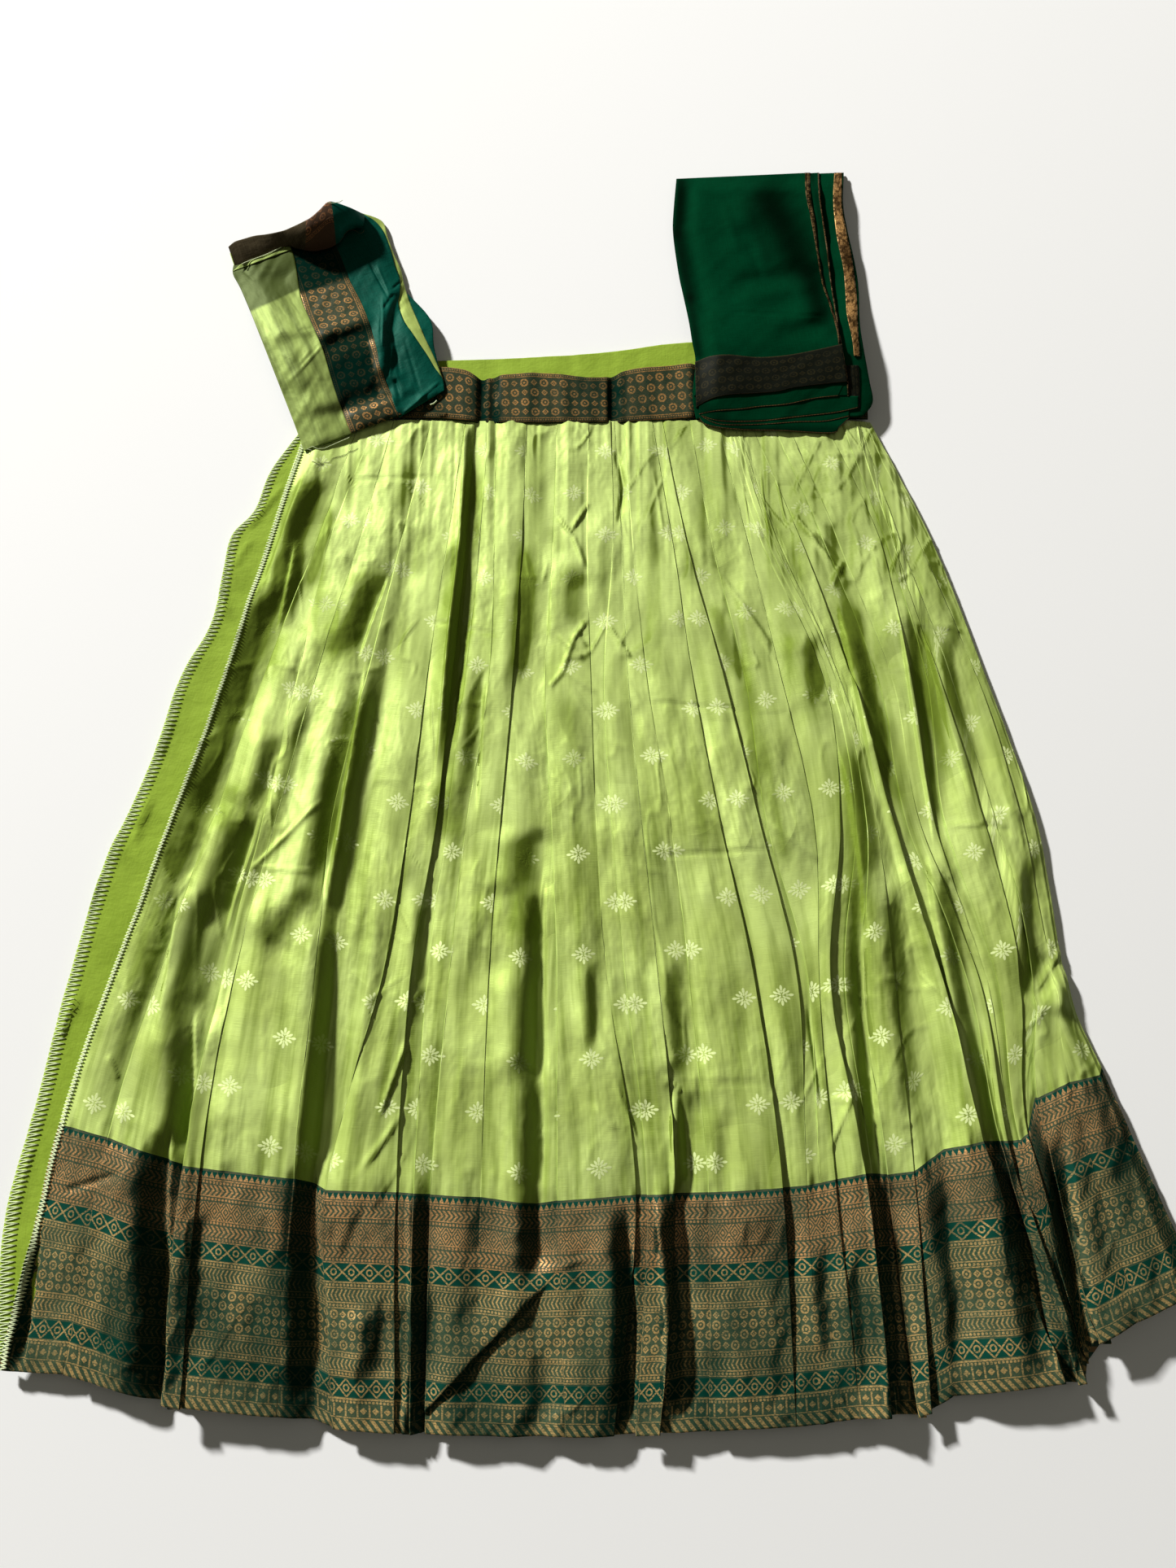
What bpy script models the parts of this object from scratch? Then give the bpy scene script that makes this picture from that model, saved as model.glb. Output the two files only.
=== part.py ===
"""Half sari set laid out flat: a pleated skirt with a woven border, a folded blouse piece and a folded dupatta.

The skirt lies on its back with the waist towards +Y. Its cloth is a wall whose lower side is a height
above what it lies on. Tables give each fold in millimetres, in plan from the waist to the hem.
"""
import math

import bmesh
import bpy

MM = 0.001

# Walls and the gaps between layers, millimetres.
WALL = 2.0
THIN_WALL = 1.6
GAP = 0.3
SEAM_GAP = 0.4

# Levels that the layers lie on, millimetres above the surface.
BACK_LEVEL = 0.0
LINING_LEVEL = BACK_LEVEL + WALL + GAP
FRONT_LEVEL = LINING_LEVEL + THIN_WALL + GAP
BUNDLE_LEVEL = 18.0

# Stations down the skirt: the waist seam, four levels of the body, the border's seam and the hem.
WAIST_Y = 338
BODY_LEVELS_Y = (200, 50, -100, -250)
SEAM_STATION = 5
HEM_STATION = 6
HEIGHT_STATIONS = (0, 2, 4, 5, 6)

BODY_ROWS = 14
BORDER_ROWS = 4
RISER_SLOPE = 0.62
LEAST_RISER = 1.6
RISER_ROOM = 0.6
PANEL_BULGE = 1.6
BULGE_SHARE = 0.12

# Each row is a fold line of the skirt's front, left to right: x at the waist, at the four levels,
# at the border's seam and at the hem, then y at the seam and at the hem.
FOLD_PLACES = {
    "overlock_edge": (-298, -332, -364, -404, -448, -482, -510, -380, -585),
    "left_crest": (-242, -281, -326, -364, -402, -433, -452, -392, -588),
    "bright_ridge": (-223, -267, -291, -315, -343, -363, -364, -416, -610),
    "ridge_companion": (-206, -236, -273, -303, -332, -348, -348, -418, -613),
    "strong_pleat": (-166, -193, -221, -249, -255, -263, -266, -427, -620),
    "strong_valley": (-150, -178, -203, -229, -236, -246, -236, -432, -624),
    "long_pleat": (-130, -145, -161, -174, -193, -235, -218, -437, -630),
    "channel_left": (-120, -126, -136, -147, -166, -172, -165, -439, -633),
    "channel_floor": (-106, -112, -123, -137, -151, -156, -152, -440, -635),
    "channel_right": (-98, -97, -99, -118, -130, -141, -139, -441, -634),
    "fine_pleat": (-65, -68, -75, -85, -93, -96, -96, -443, -635),
    "centre_valley": (-50, -52, -57, -44, -50, -46, -44, -449, -636),
    "centre_pleat": (-33, -36, -43, -35, -29, -27, -19, -446, -636),
    "twin_left": (1, -1, 3, 8, 18, 43, 22, -441, -636),
    "twin_right": (24, 26, 16, 23, 35, 53, 41, -441, -635),
    "lower_tuck": (28, 35, 40, 52, 66, 78, 61, -440, -634),
    "slant_pleat": (38, 46, 59, 80, 95, 108, 104, -439, -632),
    "crossing_pleat": (68, 87, 105, 128, 156, 174, 178, -435, -628),
    "sliver_left": (79, 101, 136, 166, 196, 196, 200, -433, -626),
    "sliver_right": (108, 128, 157, 173, 206, 208, 215, -431, -624),
    "thin_pleat": (137, 165, 193, 219, 216, 222, 233, -428, -622),
    "wedge_left": (146, 178, 236, 244, 226, 248, 258, -423, -620),
    "wedge_line": (150, 184, 242, 258, 240, 256, 266, -423, -620),
    "wedge_right": (154, 190, 248, 269, 258, 270, 283, -424, -621),
    "border_crest": (158, 195, 252, 280, 286, 293, 294, -421, -618),
    "broad_valley": (162, 200, 256, 288, 310, 322, 315, -402, -605),
    "long_diagonal": (172, 219, 263, 296, 331, 356, 410, -395, -594),
    "bright_sliver": (195, 242, 291, 309, 357, 374, 422, -395, -595),
    "sliver_edge": (210, 258, 304, 322, 368, 381, 428, -395, -594),
    "outer_fold": (250, 301, 322, 336, 375, 386, 431, -395, -590),
    "outer_panel": (268, 306, 340, 347, 383, 391, 434, -394, -580),
    "outer_crease": (282, 314, 351, 384, 404, 399, 437, -389, -572),
    "right_panel": (288, 322, 364, 396, 417, 410, 442, -357, -562),
    "right_crease": (294, 341, 391, 421, 436, 440, 478, -343, -544),
    "right_fold": (300, 356, 400, 436, 449, 474, 540, -331, -518),
}

# Height of the cloth just left and just right of each fold line, at the waist, y 50, y -250, seam and hem.
FOLD_HEIGHTS = {
    "overlock_edge": ((1, 1), (8, 8), (7, 7), (3, 3), (2, 2)),
    "left_crest": ((2, 5), (1, 12), (2, 10), (5, 9), (5, 9)),
    "bright_ridge": ((4, 5), (7, 9), (4, 12), (2, 16), (1, 20)),
    "ridge_companion": ((5, 6), (8, 8), (10, 9), (14, 12), (17, 14)),
    "strong_pleat": ((4, 8), (4, 12), (12, 12), (13, 13), (12, 12)),
    "strong_valley": ((6, 6), (5, 5), (2, 2), (1, 1), (2, 2)),
    "long_pleat": ((7, 6), (8, 6), (10, 6), (7, 9), (4, 10)),
    "channel_left": ((8, 1), (11, 1), (8, 2), (8, 5), (10, 6)),
    "channel_floor": ((1, 3), (1, 4), (2, 5), (4, 6), (3, 5)),
    "channel_right": ((3, 8), (5, 9), (5, 8), (3, 8), (2, 10)),
    "fine_pleat": ((8, 5), (10, 4), (8, 7), (8, 8), (9, 9)),
    "centre_valley": ((6, 6), (5, 5), (2, 2), (1, 1), (4, 4)),
    "centre_pleat": ((6, 8), (3, 9), (6, 9), (6, 9), (8, 9)),
    "twin_left": ((7, 6), (7, 5), (7, 6), (8, 4), (8, 3)),
    "twin_right": ((8, 2), (5, 7), (7, 8), (3, 9), (1, 10)),
    "lower_tuck": ((2, 2), (7, 7), (8, 8), (10, 2), (11, 1)),
    "slant_pleat": ((3, 8), (9, 7), (6, 8), (5, 8), (5, 8)),
    "crossing_pleat": ((7, 5), (9, 6), (10, 5), (11, 3), (9, 8)),
    "sliver_left": ((8, 3), (11, 3), (9, 5), (8, 8), (8, 8)),
    "sliver_right": ((6, 8), (3, 10), (4, 9), (8, 8), (9, 9)),
    "thin_pleat": ((8, 6), (9, 7), (9, 8), (9, 6), (9, 9)),
    "wedge_left": ((7, 7), (9, 8), (11, 2), (11, 2), (14, 1)),
    "wedge_line": ((7, 7), (8, 8), (4, 7), (2, 2), (1, 1)),
    "wedge_right": ((7, 7), (8, 8), (1, 10), (1, 7), (1, 13)),
    "border_crest": ((7, 7), (8, 8), (10, 9), (8, 7), (13, 2)),
    "broad_valley": ((7, 7), (8, 8), (8, 8), (6, 6), (5, 5)),
    "long_diagonal": ((8, 6), (13, 2), (17, 2), (12, 2), (11, 2)),
    "bright_sliver": ((7, 8), (2, 10), (2, 9), (2, 8), (1, 13)),
    "sliver_edge": ((8, 8), (9, 9), (9, 5), (8, 3), (13, 2)),
    "outer_fold": ((9, 4), (10, 2), (5, 5), (3, 3), (2, 2)),
    "outer_panel": ((5, 9), (2, 10), (5, 10), (3, 8), (2, 3)),
    "outer_crease": ((8, 6), (10, 7), (8, 5), (7, 4), (3, 2)),
    "right_panel": ((7, 7), (8, 8), (4, 9), (3, 12), (2, 15)),
    "right_crease": ((8, 6), (8, 5), (7, 7), (11, 11), (12, 12)),
    "right_fold": ((1, 1), (1, 1), (1, 1), (2, 2), (3, 3)),
}

# The lining's left edge in plan, from the waist to its hem.
LINING_LEFT = ((-312, 330), (-350, 250), (-376, 200), (-386, 105), (-411, 50), (-426, -15), (-446, -80),
               (-468, -140), (-492, -260), (-507, -360), (-523, -450), (-523, -510), (-516, -578))
LINING_INSET = 24
LINING_HEM_STATION = 5.6
BACK_INSET_LEFT = 8
BACK_INSET_RIGHT = 4
BACK_INSET_HEM = 3
BACK_COLUMNS = 30

# Waistband: its top edge and the top edge of the plain facing behind it, as x and y.
WAISTBAND_TOP = ((-294, 396), (-230, 401), (-153, 402), (-130, 398), (-115, 387), (-95, 392), (-60, 395),
                 (-30, 393), (0, 389), (20, 389), (35, 396), (50, 400), (80, 403), (110, 406), (200, 408),
                 (296, 404))
FACING_TOP = ((-288, 409), (-160, 413), (-100, 415), (-40, 418), (0, 421), (40, 426), (80, 433), (113, 436),
              (290, 440))
FACING_FOOT_Y = 347
BACK_BAND_SHOWS = 1.5

# Bundles: how high their edges are, how far in they reach full height, and where the waist lets them down.
EDGE_SHARE = 0.55
BUNDLE_ROUND = 28
EASE_FROM_Y = 418
EASE_LENGTH = 90

# Folded blouse piece: its corner, its turn and its sizes across and along.
BLOUSE_CORNER = (-390, 526)
BLOUSE_TURN = math.radians(-22.3)
BLOUSE_LENGTH = 241
BLOUSE_FLAP = 34
BLOUSE_WIDTH = 175
BLOUSE_THICK = 12.0
GREEN_WIDTH = 60
ZARI_WIDTH = 54

# Folded dupatta: left and right edges of its stack in plan, top to bottom.
DUPATTA_LEFT = ((100, 633), (95, 590), (95, 560), (100, 510), (107, 465), (113, 425), (115, 390), (113, 350),
                (118, 328))
DUPATTA_RIGHT = ((284, 640), (281, 590), (285, 555), (290, 500), (292, 450), (292, 420), (296, 390),
                 (298, 355), (284, 324))
DUPATTA_THICK = 22.0
DUPATTA_SIZE = (185, 315)


def smooth(value):
    """Ease from 0 to 1 between 0 and 1."""
    value = min(1.0, max(0.0, value))
    return value * value * (3.0 - 2.0 * value)


def lerp(a, b, share):
    return a + (b - a) * share


def spline(values, place):
    """A smooth curve through evenly spaced values, read at a place counted in values."""
    last = len(values) - 1
    index = min(last - 1, max(0, int(math.floor(place))))
    share = place - index
    before = values[max(0, index - 1)]
    start, end = values[index], values[index + 1]
    after = values[min(last, index + 2)]
    bend = 2 * before - 5 * start + 4 * end - after
    return start + 0.5 * share * (end - before + share * (bend + share * (3 * (start - end) + after - before)))


def along(points, share):
    """A point on a smooth line through points spaced by their index, share from 0 to 1."""
    place = share * (len(points) - 1)
    return tuple(spline([point[axis] for point in points], place) for axis in (0, 1))


def height_at(points, x):
    """Linear reading of a line of x and y pairs at x."""
    for (x0, y0), (x1, y1) in zip(points, points[1:]):
        if x <= x1:
            return lerp(y0, y1, max(0.0, (x - x0) / (x1 - x0)))
    return points[-1][1]


def fold_place(name, station):
    """Where a fold line is in plan at a station from 0, the waist, to 6, the hem."""
    row = FOLD_PLACES[name]
    levels = (WAIST_Y,) + BODY_LEVELS_Y + (row[7], row[8])
    return spline(row[:7], station), spline(levels, station)


def fold_heights(name, station):
    """Heights of the cloth left and right of a fold line at a station."""
    rows = FOLD_HEIGHTS[name]
    for index in range(len(HEIGHT_STATIONS) - 1):
        first, last = HEIGHT_STATIONS[index], HEIGHT_STATIONS[index + 1]
        if station <= last:
            share = smooth((station - first) / (last - first))
            return tuple(lerp(rows[index][side], rows[index + 1][side], share) for side in (0, 1))
    return rows[-1]


def front_row(station):
    """Points across the skirt's front at a station: x, y and height, in millimetres."""
    names = list(FOLD_PLACES)
    places = [fold_place(name, station) for name in names]
    sides = []
    for index, name in enumerate(names):
        x = places[index][0]
        left, right = fold_heights(name, station)
        neighbours = places[max(0, index - 1):index] + places[index + 1:index + 2]
        room = RISER_ROOM * min(abs(x - place[0]) for place in neighbours)
        half = min(max(LEAST_RISER, RISER_SLOPE * abs(right - left)), room) / 2
        sides.append((x - half, x + half, left, right))
    row = []
    bulge_here = PANEL_BULGE * smooth(station / 2)
    for index, name in enumerate(names):
        y = places[index][1]
        x_left, x_right, left, right = sides[index]
        if index == 0:
            row.append((x_right, y, right))
        elif index == len(names) - 1:
            row.append((x_left, y, left))
            break
        else:
            row.append((x_left, y, left))
            row.append((x_right, y, right))
        next_left, next_height = sides[index + 1][0], sides[index + 1][2]
        bulge = min(bulge_here, BULGE_SHARE * (next_left - x_right))
        row.append((lerp(x_right, next_left, 0.5), lerp(y, places[index + 1][1], 0.5),
                    lerp(right, next_height, 0.5) + bulge))
    return row


def wall(name, lower, upper, closed_rings=()):
    """A closed body between two grids of points with the same rows and columns.

    closed_rings gives steps in the side: a share of the height and how far inwards, so that folded
    layers show round the edge.
    """
    rows, columns = len(lower), len(lower[0])
    mesh = bmesh.new()
    low = [[mesh.verts.new([c * MM for c in point]) for point in row] for row in lower]
    high = [[mesh.verts.new([c * MM for c in point]) for point in row] for row in upper]
    for r in range(rows - 1):
        for c in range(columns - 1):
            mesh.faces.new((high[r][c], high[r + 1][c], high[r + 1][c + 1], high[r][c + 1]))
            mesh.faces.new((low[r][c], low[r][c + 1], low[r + 1][c + 1], low[r + 1][c]))
    rim = [(r, 0) for r in range(rows)] + [(rows - 1, c) for c in range(1, columns)]
    rim += [(r, columns - 1) for r in range(rows - 2, -1, -1)] + [(0, c) for c in range(columns - 2, 0, -1)]
    centre_x = sum(point[0] for row in lower for point in row) / (rows * columns)
    centre_y = sum(point[1] for row in lower for point in row) / (rows * columns)
    rings = [[low[r][c] for r, c in rim]]
    for share, inwards in closed_rings:
        ring = []
        for r, c in rim:
            x, y = lerp(lower[r][c][0], upper[r][c][0], share), lerp(lower[r][c][1], upper[r][c][1], share)
            away = math.hypot(x - centre_x, y - centre_y)
            x -= inwards * (x - centre_x) / away
            y -= inwards * (y - centre_y) / away
            ring.append(mesh.verts.new((x * MM, y * MM, lerp(lower[r][c][2], upper[r][c][2], share) * MM)))
        rings.append(ring)
    rings.append([high[r][c] for r, c in rim])
    for under, over in zip(rings, rings[1:]):
        for i in range(len(rim)):
            j = (i + 1) % len(rim)
            mesh.faces.new((under[i], under[j], over[j], over[i]))
    bmesh.ops.recalc_face_normals(mesh, faces=mesh.faces)
    bmesh.ops.triangulate(mesh, faces=mesh.faces)
    data = bpy.data.meshes.new(name)
    mesh.to_mesh(data)
    mesh.free()
    piece = bpy.data.objects.new(name, data)
    bpy.context.scene.collection.objects.link(piece)
    return piece


def raised(grid, thickness):
    return [[(x, y, z + thickness) for x, y, z in row] for row in grid]


def patch(left, right, rows, columns, level):
    """A level grid between two edges, each read smoothly."""
    grid = []
    for r in range(rows + 1):
        share = r / rows
        (x0, y0), (x1, y1) = along(left, share), along(right, share)
        row = []
        for c in range(columns + 1):
            row.append((lerp(x0, x1, c / columns), lerp(y0, y1, c / columns), level))
        grid.append(row)
    return grid


def finish(piece, colour, roughness, metallic):
    """Give a piece its own cloth finish and smooth shading."""
    material = bpy.data.materials.new(piece.name + "_cloth")
    material.use_nodes = True
    shader = material.node_tree.nodes["Principled BSDF"]
    shader.inputs["Base Color"].default_value = (*colour, 1.0)
    shader.inputs["Roughness"].default_value = roughness
    shader.inputs["Metallic"].default_value = metallic
    piece.data.materials.append(material)
    piece.data.shade_smooth()
    piece.data.set_sharp_from_angle(angle=math.radians(40))


LIME_SATIN = ((0.47, 0.62, 0.16), 0.4, 0.2)
LIME_LINING = ((0.36, 0.54, 0.05), 0.6, 0.0)
GOLD_TEAL = ((0.11, 0.10, 0.05), 0.45, 0.4)
ZARI_BROWN = ((0.05, 0.035, 0.02), 0.6, 0.2)
TEAL_SATIN = ((0.005, 0.10, 0.08), 0.45, 0.1)
DARK_GREEN = ((0.002, 0.045, 0.02), 0.6, 0.0)
GOLD_LACE = ((0.30, 0.20, 0.08), 0.5, 0.5)


def front_grid(first, last, rows):
    """The front's lower side between two stations."""
    return [[(x, y, FRONT_LEVEL + h) for x, y, h in front_row(lerp(first, last, r / rows))]
            for r in range(rows + 1)]


def part_rows(grid, gap):
    """Draw the first row of a grid back along the cloth, to leave a seam's gap."""
    moved = []
    for (x0, y0, z0), (x1, y1, z1) in zip(grid[0], grid[1]):
        share = gap / max(gap, abs(y1 - y0))
        moved.append((lerp(x0, x1, share), lerp(y0, y1, share), lerp(z0, z1, share)))
    return [moved] + grid[1:]


def make_skirt_front():
    body = front_grid(0, SEAM_STATION, BODY_ROWS)
    border = part_rows(front_grid(SEAM_STATION, HEM_STATION, BORDER_ROWS), SEAM_GAP)
    finish(wall("skirt_front", body, raised(body, WALL)), *LIME_SATIN)
    finish(wall("border_front", border, raised(border, WALL)), *GOLD_TEAL)


def outline_y(station, x):
    """y of a level line across the skirt at x, read from the fold lines."""
    return height_at([fold_place(name, station) for name in FOLD_PLACES], x)


def back_grid(first, last, rows):
    """The flat back between two stations, a little inside the front's outline and the lining's."""
    grid = []
    for r in range(rows + 1):
        station = lerp(first, last, r / rows)
        left, right = fold_place("overlock_edge", station)[0], fold_place("right_fold", station)[0]
        lift = BACK_INSET_HEM if station == HEM_STATION else 0
        row = []
        for c in range(BACK_COLUMNS + 1):
            x = lerp(left - BACK_INSET_LEFT, right - BACK_INSET_RIGHT, c / BACK_COLUMNS)
            row.append((x, outline_y(station, x) + lift, BACK_LEVEL))
        grid.append(row)
    return grid


def make_skirt_back():
    body = back_grid(0, SEAM_STATION, 7)
    border = part_rows(back_grid(SEAM_STATION, HEM_STATION, 2), SEAM_GAP)
    finish(wall("skirt_back", body, raised(body, WALL)), *LIME_SATIN)
    finish(wall("border_back", border, raised(border, WALL)), *GOLD_TEAL)


def make_lining():
    """Plain lining between back and front, which shows beside the skirt's open left edge."""
    right = []
    for index in range(len(LINING_LEFT)):
        x, y = fold_place("right_fold", LINING_HEM_STATION * index / (len(LINING_LEFT) - 1))
        right.append((x - LINING_INSET, y))
    grid = patch(LINING_LEFT, right, 12, 12, LINING_LEVEL)
    finish(wall("lining", grid, raised(grid, THIN_WALL)), *LIME_LINING)


def make_waistband():
    """The woven band on the front, the plain facing of the back's band and that band below it."""
    foot = front_row(0)
    foot_y = WAIST_Y + SEAM_GAP
    rows = []
    for share in (0.0, 0.5, 1.0):
        row = []
        for x, y, h in foot:
            top = height_at(WAISTBAND_TOP, x)
            row.append((x, lerp(foot_y, top, share), FRONT_LEVEL + h))
        rows.append(row)
    rows.reverse()
    finish(wall("waistband_front", rows, raised(rows, WALL)), *GOLD_TEAL)
    for name, level, show, finish_of in (
        ("waistband_facing", LINING_LEVEL, 0.0, LIME_LINING),
        ("waistband_back", BACK_LEVEL, BACK_BAND_SHOWS, GOLD_TEAL),
    ):
        top = [(x, y + show) for x, y in FACING_TOP]
        grid = [[(x, y, level) for x, y in top], [(x, FACING_FOOT_Y, level) for x, y in top]]
        thickness = THIN_WALL if level else WALL
        finish(wall(name, grid, raised(grid, thickness)), *finish_of)


def bundle_floor(x, y):
    """What a folded bundle lies on: the waist's pleats, easing down to the surface beyond them."""
    return lerp(BUNDLE_LEVEL, 0.0, smooth((y - EASE_FROM_Y) / EASE_LENGTH))


def blouse_point(across, down):
    """A point of the blouse piece in plan, from its distance across and down the folded bundle."""
    cos, sin = math.cos(BLOUSE_TURN), math.sin(BLOUSE_TURN)
    x = BLOUSE_CORNER[0] + across * cos - down * sin
    y = BLOUSE_CORNER[1] - across * sin - down * cos
    return x, y


def crown(across, down, width, length, thick):
    """Height of a soft bundle above what it lies on, rounded at its edges."""
    edge = min(across, width - across, down, length - down)
    return thick * lerp(EDGE_SHARE, 1.0, smooth(edge / BUNDLE_ROUND))


def blouse_top(a, d):
    return crown(a, d + BLOUSE_FLAP, BLOUSE_WIDTH, BLOUSE_LENGTH + BLOUSE_FLAP, BLOUSE_THICK)


def dupatta_point(across, down):
    """A point of the dupatta in plan, from its shares across and down the folded bundle."""
    (x0, y0), (x1, y1) = along(DUPATTA_LEFT, down), along(DUPATTA_RIGHT, down)
    return lerp(x0, x1, across), lerp(y0, y1, across)


def dupatta_top(across, down):
    width, length = DUPATTA_SIZE
    return crown(across * width, down * length, width, length, DUPATTA_THICK)


def between(stations, first, last):
    return [station for station in stations if first <= station <= last]


def bundle_grid(point, across, down, lift):
    """A grid on a bundle at the given stations across and down, raised from what the bundle lies on."""
    grid = []
    for d in down:
        places = [(a, *point(a, d)) for a in across]
        grid.append([(x, y, bundle_floor(x, y) + lift(a, d)) for a, x, y in places])
    return grid


def make_bundle(name, point, across, down, top, layers, panels):
    """A soft bundle with folded layers round its side, and the panels that lie on it."""
    low = bundle_grid(point, across, down, lambda a, d: 0.0)
    high = bundle_grid(point, across, down, top)
    finish(wall(name, low, high, layers), *DARK_GREEN)
    for panel, (a0, a1), (d0, d1), lift, finish_of in panels:
        grid = bundle_grid(point, between(across, a0, a1), between(down, d0, d1),
                           lambda a, d, up=lift: top(a, d) + GAP + up)
        finish(wall(panel, grid, raised(grid, THIN_WALL)), *finish_of)


def make_blouse():
    """Folded blouse piece: green, woven and teal panels on a bundle, with a flap turned over its top."""
    zari_end = GREEN_WIDTH + ZARI_WIDTH
    across = (0, 2, 12, 30, 45, GREEN_WIDTH - GAP, GREEN_WIDTH, 72, 86, 100, zari_end - GAP, zari_end, 132, 150,
              166, BLOUSE_WIDTH)
    down = (-BLOUSE_FLAP, -24, -10, 0, 2, 16, 48, 84, 120, 156, 192, 215, 228, BLOUSE_LENGTH - 4, BLOUSE_LENGTH)
    panels = (
        ("blouse_green", (2, GREEN_WIDTH - GAP), (2, BLOUSE_LENGTH), 0.0, LIME_SATIN),
        ("blouse_border", (GREEN_WIDTH, zari_end - GAP), (2, BLOUSE_LENGTH - 4), 0.0, GOLD_TEAL),
        ("blouse_teal", (zari_end, 166), (2, BLOUSE_LENGTH), 0.0, TEAL_SATIN),
        ("blouse_flap", (0, 166), (-BLOUSE_FLAP, 0), 0.0, ZARI_BROWN),
    )
    layers = ((0.14, -2.0), (0.30, 2.0), (0.46, -1.0), (0.62, 2.5), (0.80, -0.5))
    make_bundle("blouse_bundle", blouse_point, across, down, blouse_top, layers, panels)


def make_dupatta():
    """Folded dupatta: its top layer, its woven band, its lace edge and its last folds on a bundle."""
    across = (0, 0.02, 0.08, 0.2, 0.36, 0.52, 0.68, 0.8, 0.83, 0.86, 0.92, 0.97, 1)
    down = (0, 0.01, 0.05, 0.14, 0.26, 0.38, 0.5, 0.62, 0.73, 0.735, 0.8, 0.86, 0.865, 0.89, 0.92, 0.925, 0.96,
            0.985, 1)
    panels = (
        ("dupatta_top", (0.02, 0.83), (0.01, 0.73), 2.0, DARK_GREEN),
        ("dupatta_lace", (0.86, 0.97), (0.01, 0.86), 0.0, GOLD_LACE),
        ("dupatta_border", (0.02, 0.83), (0.735, 0.86), 1.0, ZARI_BROWN),
        ("dupatta_lower_fold", (0.02, 0.86), (0.865, 0.92), 0.5, DARK_GREEN),
        ("dupatta_last_fold", (0.02, 0.86), (0.925, 0.985), 0.0, DARK_GREEN),
    )
    layers = ((0.10, -3.0), (0.22, 1.5), (0.34, -2.0), (0.46, 2.0), (0.58, -1.0), (0.72, 2.5), (0.86, 0.0))
    make_bundle("dupatta_bundle", dupatta_point, across, down, dupatta_top, layers, panels)


def settle():
    """Stand the set on the surface with the middle of its box at the origin."""
    corners = [vertex.co for piece in bpy.context.scene.objects for vertex in piece.data.vertices]
    middle_x = (min(corner.x for corner in corners) + max(corner.x for corner in corners)) / 2
    middle_y = (min(corner.y for corner in corners) + max(corner.y for corner in corners)) / 2
    for piece in bpy.context.scene.objects:
        for vertex in piece.data.vertices:
            vertex.co.x -= middle_x
            vertex.co.y -= middle_y


def main():
    for old in list(bpy.data.objects):
        bpy.data.objects.remove(old, do_unlink=True)
    make_skirt_back()
    make_lining()
    make_skirt_front()
    make_waistband()
    make_blouse()
    make_dupatta()
    settle()


main()
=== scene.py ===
# %% [markdown]
# Half sari set, laid out flat. A pleated lime satin skirt with a woven border lies on its back, with a folded
# blouse piece over the left of its waist and a folded dupatta over the right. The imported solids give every
# size. This lesson makes the thin cloth that lies on them: folds, creases, woven motifs and edge stitches.

# %% Load the fixed frame
import math

import bmesh
import bpy
import numpy as np
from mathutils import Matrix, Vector


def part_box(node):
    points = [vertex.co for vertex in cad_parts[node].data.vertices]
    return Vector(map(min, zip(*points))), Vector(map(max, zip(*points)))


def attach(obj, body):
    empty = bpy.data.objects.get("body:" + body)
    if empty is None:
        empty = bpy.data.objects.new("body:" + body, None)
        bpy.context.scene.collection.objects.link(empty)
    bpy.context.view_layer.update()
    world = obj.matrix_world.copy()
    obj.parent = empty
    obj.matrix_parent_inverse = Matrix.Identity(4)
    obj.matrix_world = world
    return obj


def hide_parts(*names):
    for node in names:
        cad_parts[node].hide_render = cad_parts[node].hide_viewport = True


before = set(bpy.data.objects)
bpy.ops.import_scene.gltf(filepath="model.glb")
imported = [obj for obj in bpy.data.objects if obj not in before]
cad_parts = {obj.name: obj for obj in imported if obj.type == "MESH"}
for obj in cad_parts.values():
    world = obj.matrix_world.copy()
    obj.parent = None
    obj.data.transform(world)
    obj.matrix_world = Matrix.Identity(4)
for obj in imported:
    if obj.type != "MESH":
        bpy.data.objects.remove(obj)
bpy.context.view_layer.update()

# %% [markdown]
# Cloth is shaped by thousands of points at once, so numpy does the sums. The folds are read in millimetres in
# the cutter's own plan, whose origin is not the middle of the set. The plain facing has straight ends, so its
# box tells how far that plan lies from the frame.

MM = 0.001
FACING_RIGHT_END, FACING_HIGHEST = 290, 440
facing_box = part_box("waistband_facing")
PLAN_ORIGIN = np.array((facing_box[1].x - FACING_RIGHT_END * MM, facing_box[1].y - FACING_HIGHEST * MM, 0.0))
print("plan origin in the frame:", PLAN_ORIGIN)

# %% [markdown]
# The camera comes first. It stands about 14 degrees from straight down on the hem's side, as the photo was
# taken, and its lens takes in the same view. The picture is 1445 wide and 1927 high, and the sensor's 36 mm
# lie along the long side.

# %% Camera
CAMERA_PLACE = (0, -345, 1125)
CAMERA_TILT = math.radians(14.3)
LENS = 27.03
camera_data = bpy.data.cameras.new("camera")
camera_data.lens = LENS
camera = bpy.data.objects.new("camera", camera_data)
camera.location = Vector(CAMERA_PLACE) * MM + Vector(PLAN_ORIGIN)
camera.rotation_euler = (CAMERA_TILT, 0, 0)
bpy.context.scene.collection.objects.link(camera)
bpy.context.scene.camera = camera
print("camera at", tuple(round(c, 3) for c in camera.location))

# %% [markdown]
# Light that comes low from the upper left is what shows the pleats. A studio copies that with one lamp, far
# off at the upper left and 25 degrees up, a weak fill and a dim pale surround. The floor is plain and pale.


# %% Colours, floor and lamps
def linear(code):
    """A hex colour as the eye sees it, turned to the linear values that light needs."""
    channels = [int(code[i:i + 2], 16) / 255 for i in (1, 3, 5)]
    return tuple(c / 12.92 if c <= 0.04045 else ((c + 0.055) / 1.055) ** 2.4 for c in channels) + (1.0,)


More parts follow.
